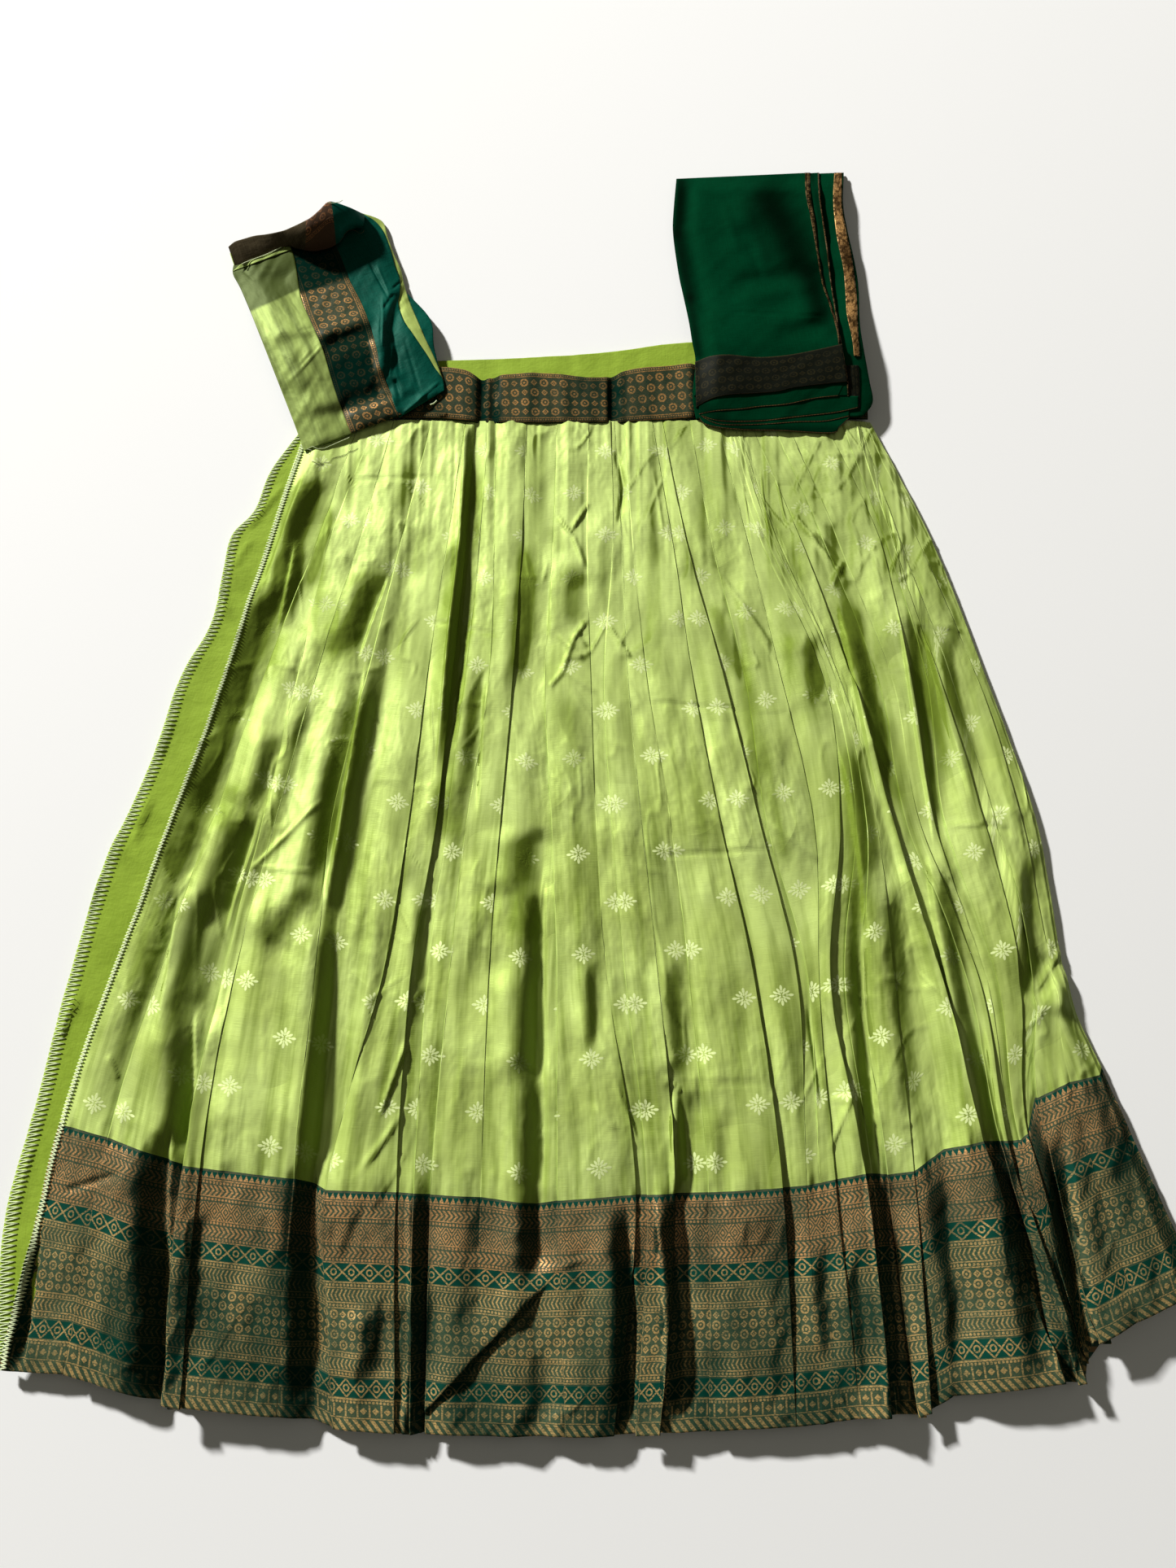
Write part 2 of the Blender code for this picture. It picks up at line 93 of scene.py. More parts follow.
def lamp(name, azimuth, elevation, distance, size, watts, colour):
    """A square area lamp that looks at the middle of the set."""
    data = bpy.data.lights.new(name, "AREA")
    data.size, data.energy, data.color = size, watts, linear(colour)[:3]
    lamp_object = bpy.data.objects.new(name, data)
    a, e = math.radians(azimuth), math.radians(elevation)
    away = Vector((math.cos(a) * math.cos(e), math.sin(a) * math.cos(e), math.sin(e)))
    lamp_object.location = away * distance
    lamp_object.rotation_euler = away.to_track_quat("Z", "Y").to_euler()
    bpy.context.scene.collection.objects.link(lamp_object)


lamp("key", azimuth=134, elevation=25, distance=12.0, size=0.8, watts=2740, colour="#FFFDF6")
lamp("fill", azimuth=20, elevation=65, distance=4.0, size=2.5, watts=5, colour="#FFF8E6")
world = bpy.data.worlds.new("surround")
world.use_nodes = True
surround = world.node_tree.nodes["Background"].inputs
surround["Color"].default_value = linear("#F6F3DC")
surround["Strength"].default_value = 0.08
bpy.context.scene.world = world
bpy.context.scene.view_settings.view_transform = "Standard"

FLOOR_HALF_WIDTH, FLOOR_DROP = 6.0, 0.0005
floor_mesh = bmesh.new()
bmesh.ops.create_grid(floor_mesh, x_segments=1, y_segments=1, size=FLOOR_HALF_WIDTH)
floor_data = bpy.data.meshes.new("floor")
floor_mesh.to_mesh(floor_data)
floor_mesh.free()
floor = bpy.data.objects.new("floor", floor_data)
bpy.context.scene.collection.objects.link(floor)
floor.location.z = -FLOOR_DROP
print("floor", 2 * FLOOR_HALF_WIDTH, "m wide")

# %% [markdown]
# Every finish is built from nodes. One small function adds any node: its inputs are given in their order, and
# a value that comes from another node is linked. Each cloth ends in the same way, with a colour and with a
# height that tilts the light on it, so one more function links those two.


# %% One function that adds a node
def add(tree, kind, *inputs, out=0, **settings):
    """Add a node with its settings; each input is a number, a colour, a linked output or None.

    kind is the node's type, and a space and its operation may follow.
    """
    kind, _, operation = kind.partition(" ")
    node = tree.nodes.new("ShaderNode" + kind)
    if operation:
        node.operation = operation
    for key, value in settings.items():
        setattr(node, key, value)
    for socket, value in zip(node.inputs, inputs):
        if isinstance(value, bpy.types.NodeSocket):
            tree.links.new(value, socket)
        elif value is not None:
            socket.default_value = value
    return node.outputs[out]


def new_material(name, roughness, metallic=0.0, **sockets):
    """A Principled material with its even values set on the shader's own sockets."""
    material = bpy.data.materials.new(name)
    material.use_nodes = True
    tree = material.node_tree
    shader = tree.nodes["Principled BSDF"]
    shader.inputs["Roughness"].default_value = roughness
    shader.inputs["Metallic"].default_value = metallic
    for key, value in sockets.items():
        shader.inputs[key.replace("_", " ")].default_value = value
    return material, tree, shader.inputs


def show_weave(tree, sockets, colour, height):
    """Link a cloth's colour, and the height of its weave and creases in metres, to the shader."""
    tree.links.new(colour, sockets["Base Color"])
    bump = add(tree, "Bump", 1.0, 1.0)
    tree.links.new(height, bump.node.inputs["Height"])
    tree.links.new(bump, sockets["Normal"])


def drawn_noise(tree, place, repeats, detail=2.0, roughness=0.6, shift=(0, 0, 0), turn=0.0, **settings):
    """Noise drawn out along threads or creases, from its repeats per metre across, along and through."""
    drawn = add(tree, "Mapping", place, shift, (0, 0, turn), repeats)
    return add(tree, "TexNoise", drawn, None, 1.0, detail, roughness, **settings)


floor_material, _, floor_sockets = new_material("matt_paper", 0.9)
floor_sockets["Base Color"].default_value = linear("#FAFBFF")
floor_data.materials.append(floor_material)
print("made", floor_material.name)

# %% [markdown]
# The skirt is lime satin with small self-coloured buttas, woven in as weft floats. A butta is a diamond of
# small leaves, 22 by 18 mm, and the columns stand 44 mm apart with every second one half a step down. The
# leaves are soft ellipses in one quarter, and folding the plan over its axes gives the other three.
# Satin has long floats, so it shines in the colour of its yarn: a part metallic, fairly rough surface. Shade
# is also painted into its colour: each point of a sheet may say how much, and there the colour turns deeper.

# %% Lime satin
BUTTA_ACROSS, BUTTA_DOWN = 0.044, 0.096
BUTTA_FIRST = 0.025
# Leaves of one quarter: centre across and down, length and width, all in mm, and the turn in degrees.
BUTTA_LEAVES = (
    (0.0, 7.0, 2.6, 1.3, 90), (2.7, 4.6, 2.5, 1.1, 52), (5.6, 2.7, 2.4, 1.1, 30), (9.0, 0.0, 2.5, 1.2, 0),
    (2.2, 1.6, 2.0, 0.9, 38), (5.4, 0.0, 1.5, 0.7, 0), (0.0, 3.4, 1.4, 0.7, 90),
)


def buttas(tree, u, v):
    """Where a butta's floats lie, 0 to 1, from the cloth's own lengths across and along in metres."""
    column = add(tree, "Math DIVIDE", u, BUTTA_ACROSS)
    odd = add(tree, "Math FLOORED_MODULO", add(tree, "Math FLOOR", column), 2.0)
    across = add(tree, "Math FRACT", column)
    across = add(tree, "Math ABSOLUTE", add(tree, "Math SUBTRACT", across, 0.5))
    across = add(tree, "Math MULTIPLY", across, BUTTA_ACROSS / MM)
    row = add(tree, "Math SUBTRACT", v, BUTTA_FIRST)
    row = add(tree, "Math DIVIDE", row, BUTTA_DOWN)
    row = add(tree, "Math MULTIPLY_ADD", odd, 0.5, row)
    down = add(tree, "Math FRACT", add(tree, "Math ADD", row, 0.5))
    down = add(tree, "Math ABSOLUTE", add(tree, "Math SUBTRACT", down, 0.5))
    down = add(tree, "Math MULTIPLY", down, BUTTA_DOWN / MM)
    point = add(tree, "CombineXYZ", across, down, 0.0)
    found = 0.0
    for x, y, length, width, turn in BUTTA_LEAVES:
        local = add(tree, "Mapping", point, (x, y, 0), (0, 0, math.radians(turn)), (length, width, 1),
                    vector_type="TEXTURE")
        reach = add(tree, "VectorMath LENGTH", local, out=1)
        leaf = add(tree, "MapRange", reach, 1.12, 0.85)
        found = add(tree, "Math MAXIMUM", found, leaf)
    return found


# The satin's wrinkles: repeats per metre across and along, turn, height in metres and kind of noise.
SATIN_WRINKLES = (
    ((60, 34), 0.0, 0.0028, "FBM"), ((24, 12), 0.12, 0.0042, "FBM"),
    ((17, 11), 0.5, 0.0042, "RIDGED_MULTIFRACTAL"), ((14, 10), -0.6, 0.0042, "RIDGED_MULTIFRACTAL"),
)


def satin(name, base, shade, painted_shade_colour, motif, warp_seed, with_buttas=True):
    """Satin with slubby weft, storage creases and, on the skirt, woven buttas.

    base and shade are its two greens, the third colour is the painted shade of its streaks and of its shaded
    places, and warp_seed moves its noise.
    """
    material, tree, sockets = new_material(name, 0.55, 0.22, Specular_IOR_Level=0.1)
    uv = add(tree, "UVMap", uv_map="cloth")
    u, v, _ = add(tree, "SeparateXYZ", uv).node.outputs
    # Clouds of colour, and streaks of painted shade for the satin's changing sheen, are strongest near the
    # waist and faint from 0.6 m down.
    fainter = add(tree, "MapRange", v, 0.3, 0.6, 1.0, 0.15)
    clouds = add(tree, "TexNoise", uv, None, 9.0, 3.0, 0.6)
    clouds = add(tree, "MapRange", clouds, 0.35, 0.62, 0.15, 0.85)
    clouds = add(tree, "Math MULTIPLY", clouds, fainter)
    colour = add(tree, "MixRGB", clouds, linear(base), linear(shade))
    sheen_streaks = drawn_noise(tree, uv, (70, 5, 1), 3.0, shift=(warp_seed, 0, 0))
    sheen_streaks = add(tree, "MapRange", sheen_streaks, 0.42, 0.68, 0.0, 0.85)
    sheen_streaks = add(tree, "Math MULTIPLY", sheen_streaks, fainter)
    colour = add(tree, "MixRGB", sheen_streaks, colour, linear(painted_shade_colour))
    slub = drawn_noise(tree, uv, (60, 1500, 1), shift=(warp_seed, 0, 0))
    colour = add(tree, "MixRGB", add(tree, "MapRange", slub, 0.45, 0.75, 0.0, 0.35), colour, linear(shade))
    height = add(tree, "Math MULTIPLY", slub, 0.00012)
    wrinkled = add(tree, "MapRange", add(tree, "TexNoise", uv, None, 7.0, 2.0, 0.5), 0.4, 0.62, 0.25, 1.0)
    for scale, turn, size, kind in SATIN_WRINKLES:
        shift = (warp_seed, scale[0], 0)
        wrinkle = drawn_noise(tree, uv, (*scale, 1), 2.0, 0.45, shift, turn, noise_type=kind)
        wrinkle = add(tree, "Math MULTIPLY", wrinkle, wrinkled)
        height = add(tree, "Math MULTIPLY_ADD", wrinkle, size, height)
    if with_buttas:
        motif_here = buttas(tree, u, v)
        colour = add(tree, "MixRGB", motif_here, colour, linear(motif))
        height = add(tree, "Math MULTIPLY_ADD", motif_here, 0.00006, height)
        gloss = add(tree, "MapRange", motif_here, 0.0, 1.0, 0.55, 0.65)
        tree.links.new(gloss, sockets["Roughness"])
    # Painted shade: where the sheet's attribute says so, the colour turns to the painted shade colour.
    shade_and_patches = add(tree, "Attribute", out=2, attribute_name="shade_and_patches")
    colour = add(tree, "MixRGB", shade_and_patches, colour, linear(painted_shade_colour))
    show_weave(tree, sockets, colour, height)
    return material


lime_satin = satin("lime_satin_with_buttas", "#D5EB8F", "#B4C86A", "#74892E", "#E4F3AE", 3.0)
print("made", lime_satin.name)

# %% [markdown]
# The skirt's front is one sheet that is pleated into the band. Its folds are lines from the waist to the hem,
# each read at seven stations, with the cloth's height left and right of it. Where the heights differ the cloth
# laps under: it runs on below the higher side, turns back and rolls over the fold's edge.

# %% The fold lines: where they run, in plan
WALL, THIN_WALL, GAP = 2.0, 1.6, 0.3
BACK_LEVEL = 0.0
LINING_LEVEL = BACK_LEVEL + WALL + GAP
FRONT_LEVEL = LINING_LEVEL + THIN_WALL + GAP
WAIST_Y = 338
BODY_LEVELS_Y = (200, 50, -100, -250)
SEAM_STATION, HEM_STATION = 5, 6
HEIGHT_STATIONS = (0, 2, 4, 5, 6)
# x at the waist, at the four levels, at the border's seam and at the hem, then y at the seam and at the hem.
FOLD_PLACES = {
    "overlock_edge": (-298, -332, -364, -404, -448, -482, -510, -380, -585),
    "left_crest": (-242, -281, -326, -364, -402, -433, -452, -392, -588),
    "bright_ridge": (-223, -267, -291, -315, -343, -363, -364, -416, -610),
    "ridge_companion": (-206, -236, -273, -303, -332, -348, -348, -418, -613),
    "strong_pleat": (-166, -193, -221, -249, -255, -263, -266, -427, -620),
    "strong_valley": (-150, -178, -203, -229, -236, -246, -236, -432, -624),
    "long_pleat": (-130, -145, -161, -174, -193, -235, -218, -437, -630),
    "channel_left": (-120, -126, -136, -147, -166, -172, -165, -439, -633),
    "channel_floor": (-106, -112, -123, -137, -151, -156, -152, -440, -635),
    "channel_right": (-98, -97, -99, -118, -130, -141, -139, -441, -634),
    "fine_pleat": (-65, -68, -75, -85, -93, -96, -96, -443, -635),
    "centre_valley": (-50, -52, -57, -44, -50, -46, -44, -449, -636),
    "centre_pleat": (-33, -36, -43, -35, -29, -27, -19, -446, -636),
    "twin_left": (1, -1, 3, 8, 18, 43, 22, -441, -636),
    "twin_right": (24, 26, 16, 23, 35, 53, 41, -441, -635),
    "lower_tuck": (28, 35, 40, 52, 66, 78, 61, -440, -634),
    "slant_pleat": (38, 46, 59, 80, 95, 108, 104, -439, -632),
    "crossing_pleat": (68, 87, 105, 128, 156, 174, 178, -435, -628),
    "sliver_left": (79, 101, 136, 166, 196, 196, 200, -433, -626),
    "sliver_right": (108, 128, 157, 173, 206, 208, 215, -431, -624),
    "thin_pleat": (137, 165, 193, 219, 216, 222, 233, -428, -622),
    "wedge_left": (146, 178, 236, 244, 226, 248, 258, -423, -620),
    "wedge_line": (150, 184, 242, 258, 240, 256, 266, -423, -620),
    "wedge_right": (154, 190, 248, 269, 258, 270, 283, -424, -621),
    "border_crest": (158, 195, 252, 280, 286, 293, 294, -421, -618),
    "broad_valley": (162, 200, 256, 288, 310, 322, 315, -402, -605),
    "long_diagonal": (172, 219, 263, 296, 331, 356, 410, -395, -594),
    "bright_sliver": (195, 242, 291, 309, 357, 374, 422, -395, -595),
    "sliver_edge": (210, 258, 304, 322, 368, 381, 428, -395, -594),
    "outer_fold": (250, 301, 322, 336, 375, 386, 431, -395, -590),
    "outer_panel": (268, 306, 340, 347, 383, 391, 434, -394, -580),
    "outer_crease": (282, 314, 351, 384, 404, 399, 437, -389, -572),
    "right_panel": (288, 322, 364, 396, 417, 410, 442, -357, -562),
    "right_crease": (294, 341, 391, 421, 436, 440, 478, -343, -544),
    "right_shoulder": (298, 352, 397, 432, 445, 470, 515, -337, -529),
    "right_fold": (300, 356, 400, 436, 449, 474, 540, -331, -518),
}

# %% The fold lines: how high the cloth is on each side
# Left and right heights at the waist, y 50, y -250, the seam and the hem, in millimetres.
FOLD_HEIGHTS = {
    "overlock_edge": ((3, 3), (13, 13), (12, 12), (5, 5), (3, 3)),
    "left_crest": ((2, 5), (1, 12), (2, 10), (5, 9), (5, 9)),
    "bright_ridge": ((4, 5), (7, 9), (4, 12), (2, 16), (1, 20)),
    "ridge_companion": ((5, 6), (8, 8), (10, 9), (14, 12), (17, 14)),
    "strong_pleat": ((4, 8), (4, 12), (12, 12), (13, 13), (12, 12)),
    "strong_valley": ((6, 6), (5, 5), (2, 2), (1, 1), (2, 2)),
    "long_pleat": ((7, 6), (8, 6), (10, 6), (7, 9), (4, 10)),
    "channel_left": ((8, 1), (11, 1), (8, 2), (8, 5), (10, 6)),
    "channel_floor": ((1, 3), (1, 4), (2, 5), (4, 6), (3, 5)),
    "channel_right": ((3, 8), (5, 9), (5, 8), (3, 8), (2, 10)),
    "fine_pleat": ((8, 5), (10, 4), (8, 7), (8, 8), (9, 9)),
    "centre_valley": ((6, 6), (5, 5), (2, 2), (1, 1), (4, 4)),
    "centre_pleat": ((6, 8), (3, 9), (6, 9), (6, 9), (8, 9)),
    "twin_left": ((7, 6), (7, 5), (7, 6), (8, 4), (8, 3)),
    "twin_right": ((8, 2), (5, 7), (7, 8), (3, 9), (1, 10)),
    "lower_tuck": ((2, 2), (7, 7), (8, 8), (10, 2), (11, 1)),
    "slant_pleat": ((3, 8), (9, 7), (6, 8), (5, 8), (5, 8)),
    "crossing_pleat": ((7, 5), (9, 6), (10, 5), (11, 3), (9, 8)),
    "sliver_left": ((8, 3), (11, 3), (9, 5), (8, 8), (8, 8)),
    "sliver_right": ((6, 8), (3, 10), (4, 9), (8, 8), (9, 9)),
    "thin_pleat": ((8, 6), (9, 7), (9, 8), (9, 6), (9, 9)),
    "wedge_left": ((7, 7), (9, 8), (11, 2), (11, 2), (14, 1)),
    "wedge_line": ((7, 7), (8, 8), (4, 7), (2, 2), (1, 1)),
    "wedge_right": ((7, 7), (8, 8), (1, 10), (1, 7), (1, 13)),
    "border_crest": ((7, 7), (8, 8), (10, 9), (8, 7), (13, 2)),
    "broad_valley": ((7, 7), (8, 8), (8, 8), (6, 6), (5, 5)),
    "long_diagonal": ((8, 6), (13, 2), (17, 2), (12, 2), (11, 2)),
    "bright_sliver": ((7, 8), (2, 10), (2, 9), (2, 8), (1, 13)),
    "sliver_edge": ((8, 8), (9, 9), (9, 5), (8, 3), (13, 2)),
    "outer_fold": ((9, 4), (10, 2), (5, 5), (3, 3), (2, 2)),
    "outer_panel": ((5, 9), (2, 10), (5, 10), (3, 8), (2, 3)),
    "outer_crease": ((8, 6), (10, 7), (8, 5), (7, 4), (3, 2)),
    "right_panel": ((7, 7), (8, 8), (4, 9), (3, 12), (2, 15)),
    "right_crease": ((8, 6), (8, 5), (7, 7), (11, 11), (12, 12)),
    "right_shoulder": ((4, 4), (4, 4), (4, 4), (6, 6), (13, 13)),
    "right_fold": ((1, 1), (1, 1), (1, 1), (2, 2), (3, 3)),
}
# Pressed pleats lie flatter than the room that the solid leaves them, most of all near the band, and no fold
# has one height along its whole length.
WAIST_FULLNESS, HEM_FULLNESS = 0.15, 0.95
UNEVEN = 1.6
NAMES = list(FOLD_PLACES)
print(len(NAMES), "fold lines")


# %% Reading the tables smoothly
def smooth(value):
    """Ease from 0 to 1 between 0 and 1."""
    value = np.clip(value, 0.0, 1.0)
    return value * value * (3.0 - 2.0 * value)


def lerp(a, b, share):
    """The value that lies a share of the way from a to b."""
    return a + (b - a) * share


def spline(values, place):
    """A smooth curve through evenly spaced values, read at places counted in values."""
    values, place = np.asarray(values, float), np.asarray(place, float)
    last = values.shape[-1] - 1
    index = np.clip(np.floor(place).astype(int), 0, last - 1)
    share = place - index
    before, start = values[..., np.maximum(index - 1, 0)], values[..., index]
    end, after = values[..., index + 1], values[..., np.minimum(index + 2, last)]
    bend = 2 * before - 5 * start + 4 * end - after
    rest = bend + share * (3 * (start - end) + after - before)
    return start + 0.5 * share * (end - before + share * rest)


# %% [markdown]
# Cloth is never level. Besides the folds it carries long soft waves, fine gathers that run down from the band
# and puckers along the border's seam. They come from smooth noise, a table of random heights read with eased
# steps, so that the same cloth comes out each time.


# %% Smooth noise
NOISE_SIDE = 61


def ripple(x, y, across, down, seed):
    """Soft hills between -1 and 1 that are about `across` wide and `down` long."""
    table = np.random.default_rng(seed).uniform(-1.0, 1.0, (NOISE_SIDE, NOISE_SIDE))
    i, j = np.floor(x / across), np.floor(y / down)
    s, t = smooth(x / across - i), smooth(y / down - j)
    i, j = i.astype(int) % NOISE_SIDE, j.astype(int) % NOISE_SIDE
    next_i, next_j = (i + 1) % NOISE_SIDE, (j + 1) % NOISE_SIDE
    low, high = lerp(table[j, i], table[j, next_i], s), lerp(table[next_j, i], table[next_j, next_i], s)
    return lerp(low, high, t)


def ripples(x, y, *rows):
    """Several ripples added up. A row is a height, how far they slant, their width and length and a seed."""
    total = np.zeros_like(x, float)
    for height, slant, across, down, seed in rows:
        total += height * ripple(x + slant * y, y, across, down, seed)
    return total


# %% Where every fold line runs
LEAST_HEIGHT = 0.2


def fold_lines(stations):
    """x, y and the heights left and right of every fold line, as arrays of lines by stations."""
    table = np.array(list(FOLD_PLACES.values()), float)
    levels = np.column_stack([np.full(len(table), y) for y in (WAIST_Y,) + BODY_LEVELS_Y] + [table[:, 7:]])
    heights = np.array(list(FOLD_HEIGHTS.values()), float)
    index = np.searchsorted(HEIGHT_STATIONS, stations, side="right") - 1
    index = np.clip(index, 0, len(HEIGHT_STATIONS) - 2)
    first, last = np.take(HEIGHT_STATIONS, index), np.take(HEIGHT_STATIONS, index + 1)
    share = smooth((stations - first) / (last - first))[None, :, None]
    sides = lerp(heights[:, index, :], heights[:, index + 1, :], share)
    sides = sides * lerp(WAIST_FULLNESS, HEM_FULLNESS, (stations / HEM_STATION) ** 1.5)[None, :, None]
    x, y = spline(table[:, :7], stations), spline(levels, stations)
    uneven = UNEVEN * ripple(x, y, 45, 75, 22) * smooth(stations)[None, :]
    left, right = sides[..., 0] + uneven, sides[..., 1] + uneven + 0.4 * UNEVEN * ripple(x, y, 60, 90, 23)
    return x, y, np.maximum(left, LEAST_HEIGHT), np.maximum(right, LEAST_HEIGHT)


waist_width = np.ptp(fold_lines(np.zeros(1))[0])
print("the pleated sheet is", round(waist_width), "mm wide at the waist")


# %% [markdown]
# The sheet is a grid. Its columns are shared out between the panels, by their width, and the folds, nine
# steps each, and one function says where every column lies at every station. A grid from bmesh then takes
# those places point by point, and the cloth's own lengths go into its UV map so that patterns follow folds.

# %% Columns across the pleated sheet
# A lap runs 11 mm under its fold, but never under more than a share of the panel above. It grows from a small
# step in height to a full one, and its layers keep apart. Where there is no lap the step is a slope.
LAP_STEPS = 9
LAP_DEPTH, LAP_ROOM = 11.0, 0.7
LAP_FROM, LAP_FULL = 0.3, 1.3
ROLL, ROLL_SHARE, EDGE_FLAT = 0.5, 0.25, 0.6
LAYER = 0.7
PANEL_BULGE, BULGE_FROM, SLOPE_LENGTH = 1.2, 18.0, 22.0
STEP_SLOPE, LEAST_STEP, STEP_ROOM = 0.62, 1.2, 0.6
LEAST_JUMP = 1
COLUMN_PITCH = 2.35


def panel_height(start, end, share, width):
    """Height across a panel: level beside its high fold, then down over a last short stretch."""
    zone = np.minimum(1.0, SLOPE_LENGTH / np.maximum(width, 1.0))
    place = np.where(start > end, (share - 1 + zone) / zone, share / zone)
    bulge = PANEL_BULGE * smooth((width - BULGE_FROM) / BULGE_FROM)
    return lerp(start, end, smooth(place)) + bulge * 4 * share * (1 - share)


def lap_path(low, high, room, under):
    """The cloth's path from the low side, under the high one and over its rolled edge: steps by rows.

    room is the high panel's width and under the high panel's height where the lap turns.
    """
    drop = high - low
    strength = smooth((drop - LAP_FROM) / (LAP_FULL - LAP_FROM))
    depth = np.minimum(LAP_DEPTH * strength, LAP_ROOM * room)
    roll = np.minimum(ROLL, ROLL_SHARE * drop)
    middle = np.minimum(high, under) - 2 * roll
    floor_here = np.minimum(low, middle - LAYER)
    zero = np.zeros_like(low)
    lap_x = np.stack([zero, 0.4 * depth, depth - 1, depth, depth - 1, 0.4 * depth, zero, -roll, zero,
                      zero + EDGE_FLAT])
    lap_z = np.stack([low, floor_here, floor_here, lerp(floor_here, middle, 0.5), middle, middle,
                      high - 2 * roll, high - roll, high, high])
    half = np.minimum(np.maximum(LEAST_STEP, STEP_SLOPE * drop), STEP_ROOM * room) / 2
    shares = np.linspace(0, 1, LAP_STEPS + 1)[:, None]
    step_x = (2 * shares - 1) * half
    step_z = lerp(low, high, smooth(shares))
    return lerp(step_x, lap_x, strength), lerp(step_z, lap_z, strength)


def pleated(stations):
    """x, y and z of each column at each station, before the small waves, and which columns a lap hides."""
    xs, ys, left, right = fold_lines(stations)
    all_x = fold_lines(np.linspace(0, HEM_STATION, 60))[0]
    folds = []
    for i, name in enumerate(NAMES):
        jump = right[i] - left[i]
        if np.ptp(FOLD_HEIGHTS[name], axis=1).max() <= LEAST_JUMP:
            folds.append((np.zeros((1, len(stations))), left[i:i + 1]))
            continue
        ahead, behind = min(i + 1, len(NAMES) - 1), max(i - 1, 0)
        room = np.maximum(np.where(jump > 0, xs[ahead] - xs[i], xs[i] - xs[behind]), 1.0)
        far = np.where(jump > 0, left[ahead], right[behind])
        low, high = np.minimum(left[i], right[i]), np.maximum(left[i], right[i])
        under = lerp(high, far, smooth(np.minimum(LAP_DEPTH / room, LAP_ROOM)))
        dx, z = lap_path(low, high, room, under)
        folds.append((np.where(jump > 0, dx, -dx[::-1]), np.where(jump > 0, z, z[::-1])))
    rows_x, rows_y, rows_z, hidden = [], [], [], []
    for i, (dx, z) in enumerate(folds):
        for k in range(len(dx)):
            rows_x.append(xs[i] + dx[k])
            rows_y.append(ys[i])
            rows_z.append(z[k])
            hidden.append(0 < k < len(dx) - 1)
        if i == len(folds) - 1:
            break
        start, end = xs[i] + dx[-1], xs[i + 1] + folds[i + 1][0][0]
        steps = max(2, round((all_x[i + 1] - all_x[i]).max() / COLUMN_PITCH))
        for k in range(1, steps):
            share = k / steps
            rows_x.append(lerp(start, end, share))
            rows_y.append(lerp(ys[i], ys[i + 1], share))
            rows_z.append(panel_height(z[-1], folds[i + 1][1][0], share, end - start))
            hidden.append(False)
    return np.array(rows_x).T, np.array(rows_y).T, np.array(rows_z).T, np.array(hidden)


# %% [markdown]
# The creases that the eye picks out are listed one by one: where each begins and ends, how wide it is and how
# far it stands up or sinks. A crease fades at its ends, and one flank may be steeper than the other, as when
# satin is pinched. Swells are broad soft slopes that face away from the light, and some end crisply at a fold.

# %% Creases, listed one by one
# x and y of the start and of the end, half-width and height, all in mm, then how much of the half-width there
# is on the left of the way from start to end.
CREASES = (
    (210, 233, 260, 162, 3.2, 1.7, 0.4), (222, 226, 262, 178, 2.6, -1.1, 1.0),
    (262, 176, 250, 150, 2.6, 1.1, 1.0), (-30, 223, -16, 205, 2.6, 1.4, 0.5),
    (-16, 205, -3, 170, 2.6, 1.1, 1.0), (0, 240, -16, 212, 2.6, 1.2, 0.6), (20, 107, 42, 73, 3.2, 1.4, 0.5),
    (-2, 110, -15, 90, 2.6, 1.4, 0.6), (-15, 90, -26, 55, 2.6, 1.2, 1.0), (-26, 55, -38, 40, 2.5, 1.1, 1.0),
    (-7, 97, 3, 80, 2.6, -1.1, 1.0), (-30, 95, -5, 70, 3.2, 1.1, 0.7), (-28, 60, 8, 35, 3.2, 1.0, 0.7),
    (30, 300, 38, 260, 2.6, -1.4, 1.0), (38, 260, 32, 220, 2.6, -1.1, 1.0),
    (134, 165, 184, 83, 4.5, 1.4, 0.5), (150, 130, 157, 40, 5.2, -1.4, 1.0),
    (346, -103, 383, -100, 2.6, 1.2, 0.5), (383, -100, 410, -110, 3.2, -1.3, 1.0),
    (176, -100, 220, -135, 3.9, 1.2, 0.6), (206, -280, 213, -358, 2.5, -1.7, 1.0),
    (222, -360, 240, -355, 2.5, 1.3, 0.6), (240, -355, 220, -400, 2.6, 1.4, 0.6),
    (26, -346, 44, -390, 2.6, 1.5, 0.5), (5, -365, 25, -385, 2.5, 1.1, 1.0),
    (70, -340, 85, -350, 2.6, 1.4, 0.5), (85, -350, 92, -430, 3.9, -1.7, 1.0),
    (-168, -310, -188, -370, 3.2, 1.7, 0.5), (-200, -415, -175, -380, 2.6, 1.3, 0.6),
    (-320, -142, -262, -82, 3.2, 1.3, 0.5), (-320, -142, -267, -148, 2.6, 0.9, 0.6),
    (-440, -320, -430, -340, 2.6, 1.1, 0.6), (450, -220, 420, -260, 3.9, 1.3, 0.5),
    (-470, -438, -420, -423, 2.5, -1.4, 1.0), (-38, -516, -152, -628, 18.0, 3.6, 0.12),
    (-38, -505, 2, -492, 2.5, 1.1, 0.5), (-160, 110, -90, 96, 2.6, -0.7, 0.5),
    (60, 24, 150, 16, 2.6, -0.7, 0.5), (70, -132, 170, -126, 2.6, -0.7, 0.5),
    (80, -345, 160, -344, 2.6, -0.7, 0.5), (-250, 268, -170, 272, 2.6, -0.6, 0.5),
)
CREASE_SIZE = 1.4


def stroke(x, y, x0, y0, x1, y1):
    """How far points lie along a stroke, as a share of its length, and how far aside from it, in mm."""
    length = math.hypot(x1 - x0, y1 - y0)
    ux, uy = (x1 - x0) / length, (y1 - y0) / length
    return ((x - x0) * ux + (y - y0) * uy) / length, (x - x0) * uy - (y - y0) * ux


